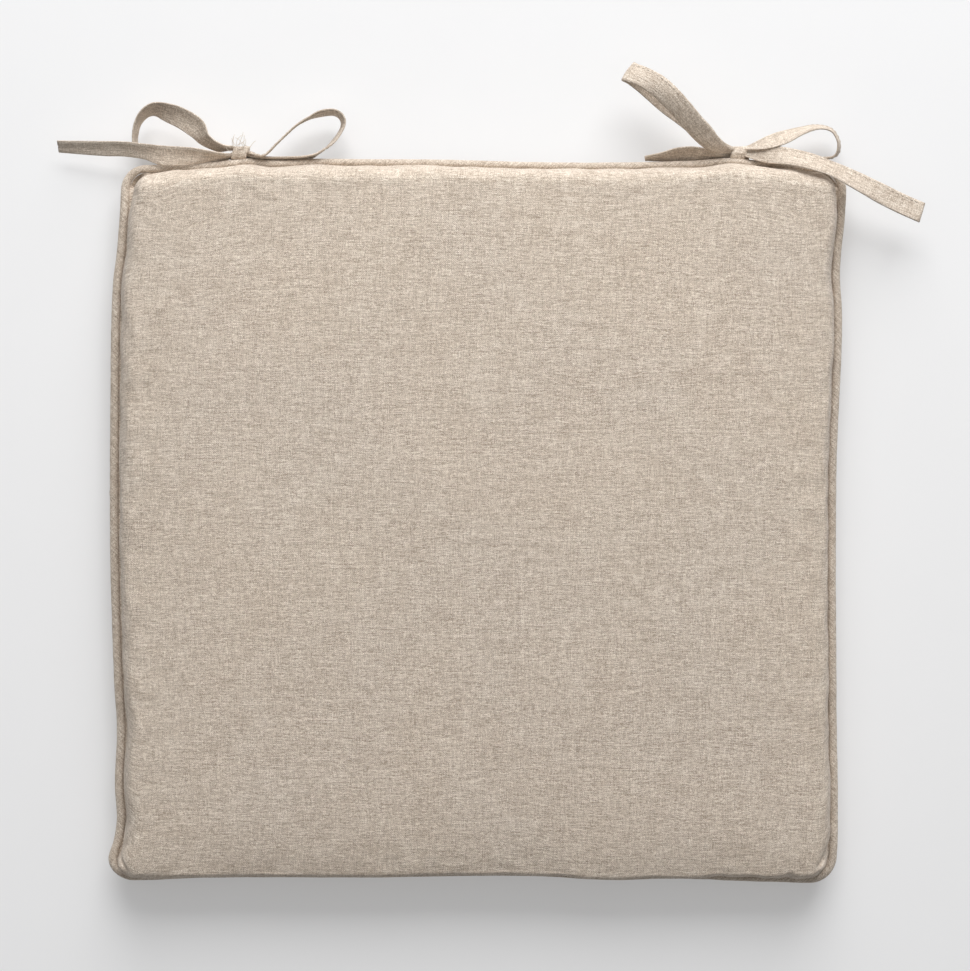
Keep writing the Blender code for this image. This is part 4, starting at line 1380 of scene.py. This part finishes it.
def make_ties(cloth, stitching):
    """Both bows: their knots, loops and tails, and the sewn ends under the piping."""
    for side, knot, seed in (("left", LEFT_KNOT, 31), ("right", RIGHT_KNOT, 37)):
        low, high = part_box(f"{side}_knot")
        piece = make_knot(f"{side}_bow_knot", knot, high - low, cloth, seed)
        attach(piece, "cushion")
        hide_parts(f"{side}_knot")
    for seed, (node, stations) in enumerate(STRIPS.items(), 40):
        knot = LEFT_KNOT if node.startswith("left") else RIGHT_KNOT
        hemmed = node.endswith("tail")
        name = f"{node}_cloth"
        ribbon, length = make_ribbon(name, knot, stations, cloth, stitching, hemmed, seed)
        body = STRIP_BODY.get(node)
        if body is None:
            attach(ribbon, "cushion")
        else:
            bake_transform(ribbon)
        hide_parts(node)
    for side, knot in (("left", LEFT_KNOT), ("right", RIGHT_KNOT)):
        make_tie_base(side, knot, cloth)
    make_loose_threads(LEFT_KNOT, stitching)


def make_tie_base(side, knot, cloth):
    """The sewn end of a pair of ties, between the seam and the knot."""
    low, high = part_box(f"{side}_tie_base")
    level = (low.z + high.z) / 2 - knot.z
    places = (low.y, 0.0), ((low.y * 2 + high.y) / 3, 0.0), (high.y, 0.0), (high.y + 2 * MM, 1 * MM)
    stations = [(0.0, y - knot.y, level + lift) for y, lift in places]
    centres = catmull_rom(stations, 6) + np.array(knot)
    widths = catmull_rom([(TIE_WIDTH / 2, 0.0, 0.0)] * len(stations), 6)
    base = strip_only(f"{side}_tie_base_cloth", centres, widths, cloth)
    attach(base, "cushion")
    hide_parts(f"{side}_tie_base")


def strip_only(name, centres, widths, material):
    """A flat folded strip, without stitches."""
    across, out, half = ribbon_frames(centres, widths)
    profile = np.array([-1.0, -0.8, 0.0, 0.8, 1.0])
    thick = 0.5 * MM * (1 - 0.4 * (np.abs(profile) > 0.9))
    points = np.concatenate(
        [
            strip_side(centres, across, out, half, row, side * thick)
            for side, row in ((1, profile), (-1, profile[::-1]))
        ],
        1,
    )
    rows, columns = points.shape[:2]
    faces = grid_faces(rows, columns, wrap=True)
    flat = points.reshape(-1, 3)
    uvs = [(flat[v][0], flat[v][1]) for face in faces for v in face]
    uvs += [(0.0, 0.0)] * (2 * columns)
    return mesh_object(name, flat, faces + end_caps(rows, columns), uvs, material=material)


# ---------------------------------------------------------------- stage


def make_floor(material):
    bpy.ops.mesh.primitive_plane_add(size=12.0, location=(0.0, 0.0, -0.2 * MM))
    floor = bpy.context.active_object
    floor.name = "floor"
    floor.data.materials.append(material)


def make_camera():
    data = bpy.data.cameras.new("camera")
    data.sensor_width = CAMERA_SENSOR
    data.lens = CAMERA_LENS
    data.clip_start = 0.05
    data.clip_end = 30.0
    camera = bpy.data.objects.new("camera", data)
    camera.location = CAMERA_PLACE
    bpy.context.scene.collection.objects.link(camera)
    bpy.context.scene.camera = camera


def make_light(name, place, target, size, power):
    data = bpy.data.lights.new(name, "AREA")
    data.shape = "RECTANGLE"
    data.size, data.size_y = size
    data.energy = power
    light = bpy.data.objects.new(name, data)
    light.location = place
    light.rotation_euler = (Vector(target) - Vector(place)).to_track_quat("-Z", "Y").to_euler()
    bpy.context.scene.collection.objects.link(light)


def make_lights():
    """One large soft light beyond the back edge, and an even fill from all round."""
    make_light("key", KEY_PLACE, (0.0, 0.0, 0.0), KEY_SIZE, KEY_POWER)
    make_light("soft", SOFT_PLACE, (SOFT_PLACE[0], SOFT_PLACE[1], 0.0), SOFT_SIZE, SOFT_POWER)
    world = bpy.data.worlds.new("studio")
    world.use_nodes = True
    background = world.node_tree.nodes["Background"]
    background.inputs["Color"].default_value = (1.0, 1.0, 1.0, 1.0)
    background.inputs["Strength"].default_value = FILL_STRENGTH
    bpy.context.scene.world = world


def make_coil(name, node, material, phase):
    """One row of a zip's teeth: a flattened nylon spiral, sewn to its tape."""
    low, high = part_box(node)
    inner = ZIP_Z + (COIL_MESH if phase == 0.0 else -COIL_MESH)
    bottom, top = (low.z, inner) if phase == 0.0 else (inner, high.z)
    turns = int((high.x - low.x) / COIL_PITCH)
    t = np.arange(turns * COIL_STEPS + 1) / COIL_STEPS
    reach_y, reach_z = (high.y - low.y) / 2 - COIL_WIRE, (top - bottom) / 2 - COIL_WIRE
    angle = 2 * math.pi * t + phase
    line = np.stack(
        [
            low.x + COIL_WIRE + t * COIL_PITCH,
            (low.y + high.y) / 2 + reach_y * np.sin(angle),
            (bottom + top) / 2 + reach_z * np.cos(angle),
        ],
        1,
    )
    points, faces = tube(line, np.full(len(line), COIL_WIRE), 6)
    coil = mesh_object(name, points, faces, material=material)
    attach(coil, "cushion")
    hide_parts(node)


def make_tape(name, node, material, stitching):
    """One side of the zip's tape, a little uneven, with a thicker woven edge and its sewing."""
    low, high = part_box(node)
    count = 120
    x = np.linspace(low.x, high.x, count)
    across = np.array([0.0, 0.06, 0.12, 0.3, 0.5, 0.7, 0.88, 0.94, 1.0])
    half = np.array([0.5, 0.95, 0.7, 0.62, 0.6, 0.62, 0.7, 0.95, 0.5]) * (high.y - low.y) / 2
    middle = (low.y + high.y) / 2
    z = low.z + (high.z - low.z) * across
    rings = []
    for side, order in ((1, slice(None)), (-1, slice(None, None, -1))):
        ring = np.zeros((count, len(across), 3))
        ring[:, :, 0] = x[:, None]
        ring[:, :, 1] = middle + side * half[order][None, :]
        ring[:, :, 2] = z[order][None, :]
        rings.append(ring)
    points = np.concatenate(rings, 1)
    columns = points.shape[1]
    flat = points.reshape(-1, 3)
    flat[:, 1] += 0.05 * MM * ripple(flat, 12 * MM, 61)
    faces = grid_faces(count, columns, wrap=True) + end_caps(count, columns)
    tape = mesh_object(name, flat, faces, material=material)
    toward = 1 if (low.z + high.z) / 2 < ZIP_Z else -1
    edge = (high.z if toward > 0 else low.z) - toward * TAPE_SEWING
    sewn = np.stack([x, np.full(count, high.y), np.full(count, edge)], 1)
    outs = np.tile((0.0, 1.0, 0.0), (count, 1))
    sewing = stitches(f"{name}_sewing", [(sewn, outs)], stitching, 1.6 * MM, 1.2 * MM, 0.11 * MM)
    join([tape, sewing])
    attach(tape, "cushion")
    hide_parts(node)


def make_label(material, stitching):
    """A blank satin label, sewn into the seam at its top and curling away at its foot."""
    low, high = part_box("care_label")
    count_x, count_z = 19, 14
    heights = np.linspace(0, 1, count_z)
    grid_u, grid_v = grid_of(np.linspace(0, 1, count_x), heights)
    curl = (1 - grid_v) ** 2 * (1.3 + 0.7 * np.sin(grid_u * 2.3)) * MM
    front = np.stack(
        [
            low.x + (high.x - low.x) * grid_u,
            high.y + curl + 0.12 * MM * np.sin(grid_u * 9 + grid_v * 4),
            low.z + (high.z - low.z) * grid_v,
        ],
        1,
    )
    back = front - (0, 0.26 * MM, 0)
    faces = sheet_faces(count_x, count_z, True)
    label = mesh_object("blank_label", np.concatenate([front, back]), faces, material=material)
    line = front[grid_v == heights[-2]]
    outs = np.tile((0.0, 1.0, 0.0), (len(line), 1))
    sewing = stitches("label_sewing", [(line, outs)], stitching, 1.5 * MM, 1.1 * MM, 0.11 * MM)
    join([label, sewing])
    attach(label, "cushion")
    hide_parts("care_label")


def paint(node, material):
    """Gives a CAD node a better material."""
    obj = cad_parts[node]
    for slot in obj.material_slots:
        slot.material = material


def main():
    bpy.context.scene.view_settings.view_transform = "Standard"
    make_camera()
    make_lights()
    make_floor(plaster("floor_paint", FLOOR))

    cloth = linen("linen_cover")
    bias = linen("linen_bias", turn=math.radians(45), tone=0.97)
    narrow = linen("linen_ties")
    stitching = thread("linen_thread", THREAD)

    make_cover(cloth, stitching)
    make_filling()
    make_piping(bias)
    make_piping_cord(thread("cotton_cord_twist", COTTON, 1.2))
    make_ties(narrow, stitching)

    tape = woven_tape("zip_tape_weave", ZIP_TAPE)
    teeth = nylon("zip_nylon_teeth", ZIP_TEETH)
    metal = plated_metal("zip_plated_metal", METAL)
    for phase, half in ((0.0, "lower"), (math.pi, "upper")):
        make_coil(f"zip_teeth_{half}", f"zip_coil_{half}", teeth, phase)
        make_tape(f"zip_cloth_{half}", f"zip_tape_{half}", tape, stitching)
    make_label(satin("label_satin", SATIN), stitching)
    for node in ("zip_top_stop", "zip_bottom_stop", "zip_slider", "zip_pull"):
        paint(node, metal)


main()
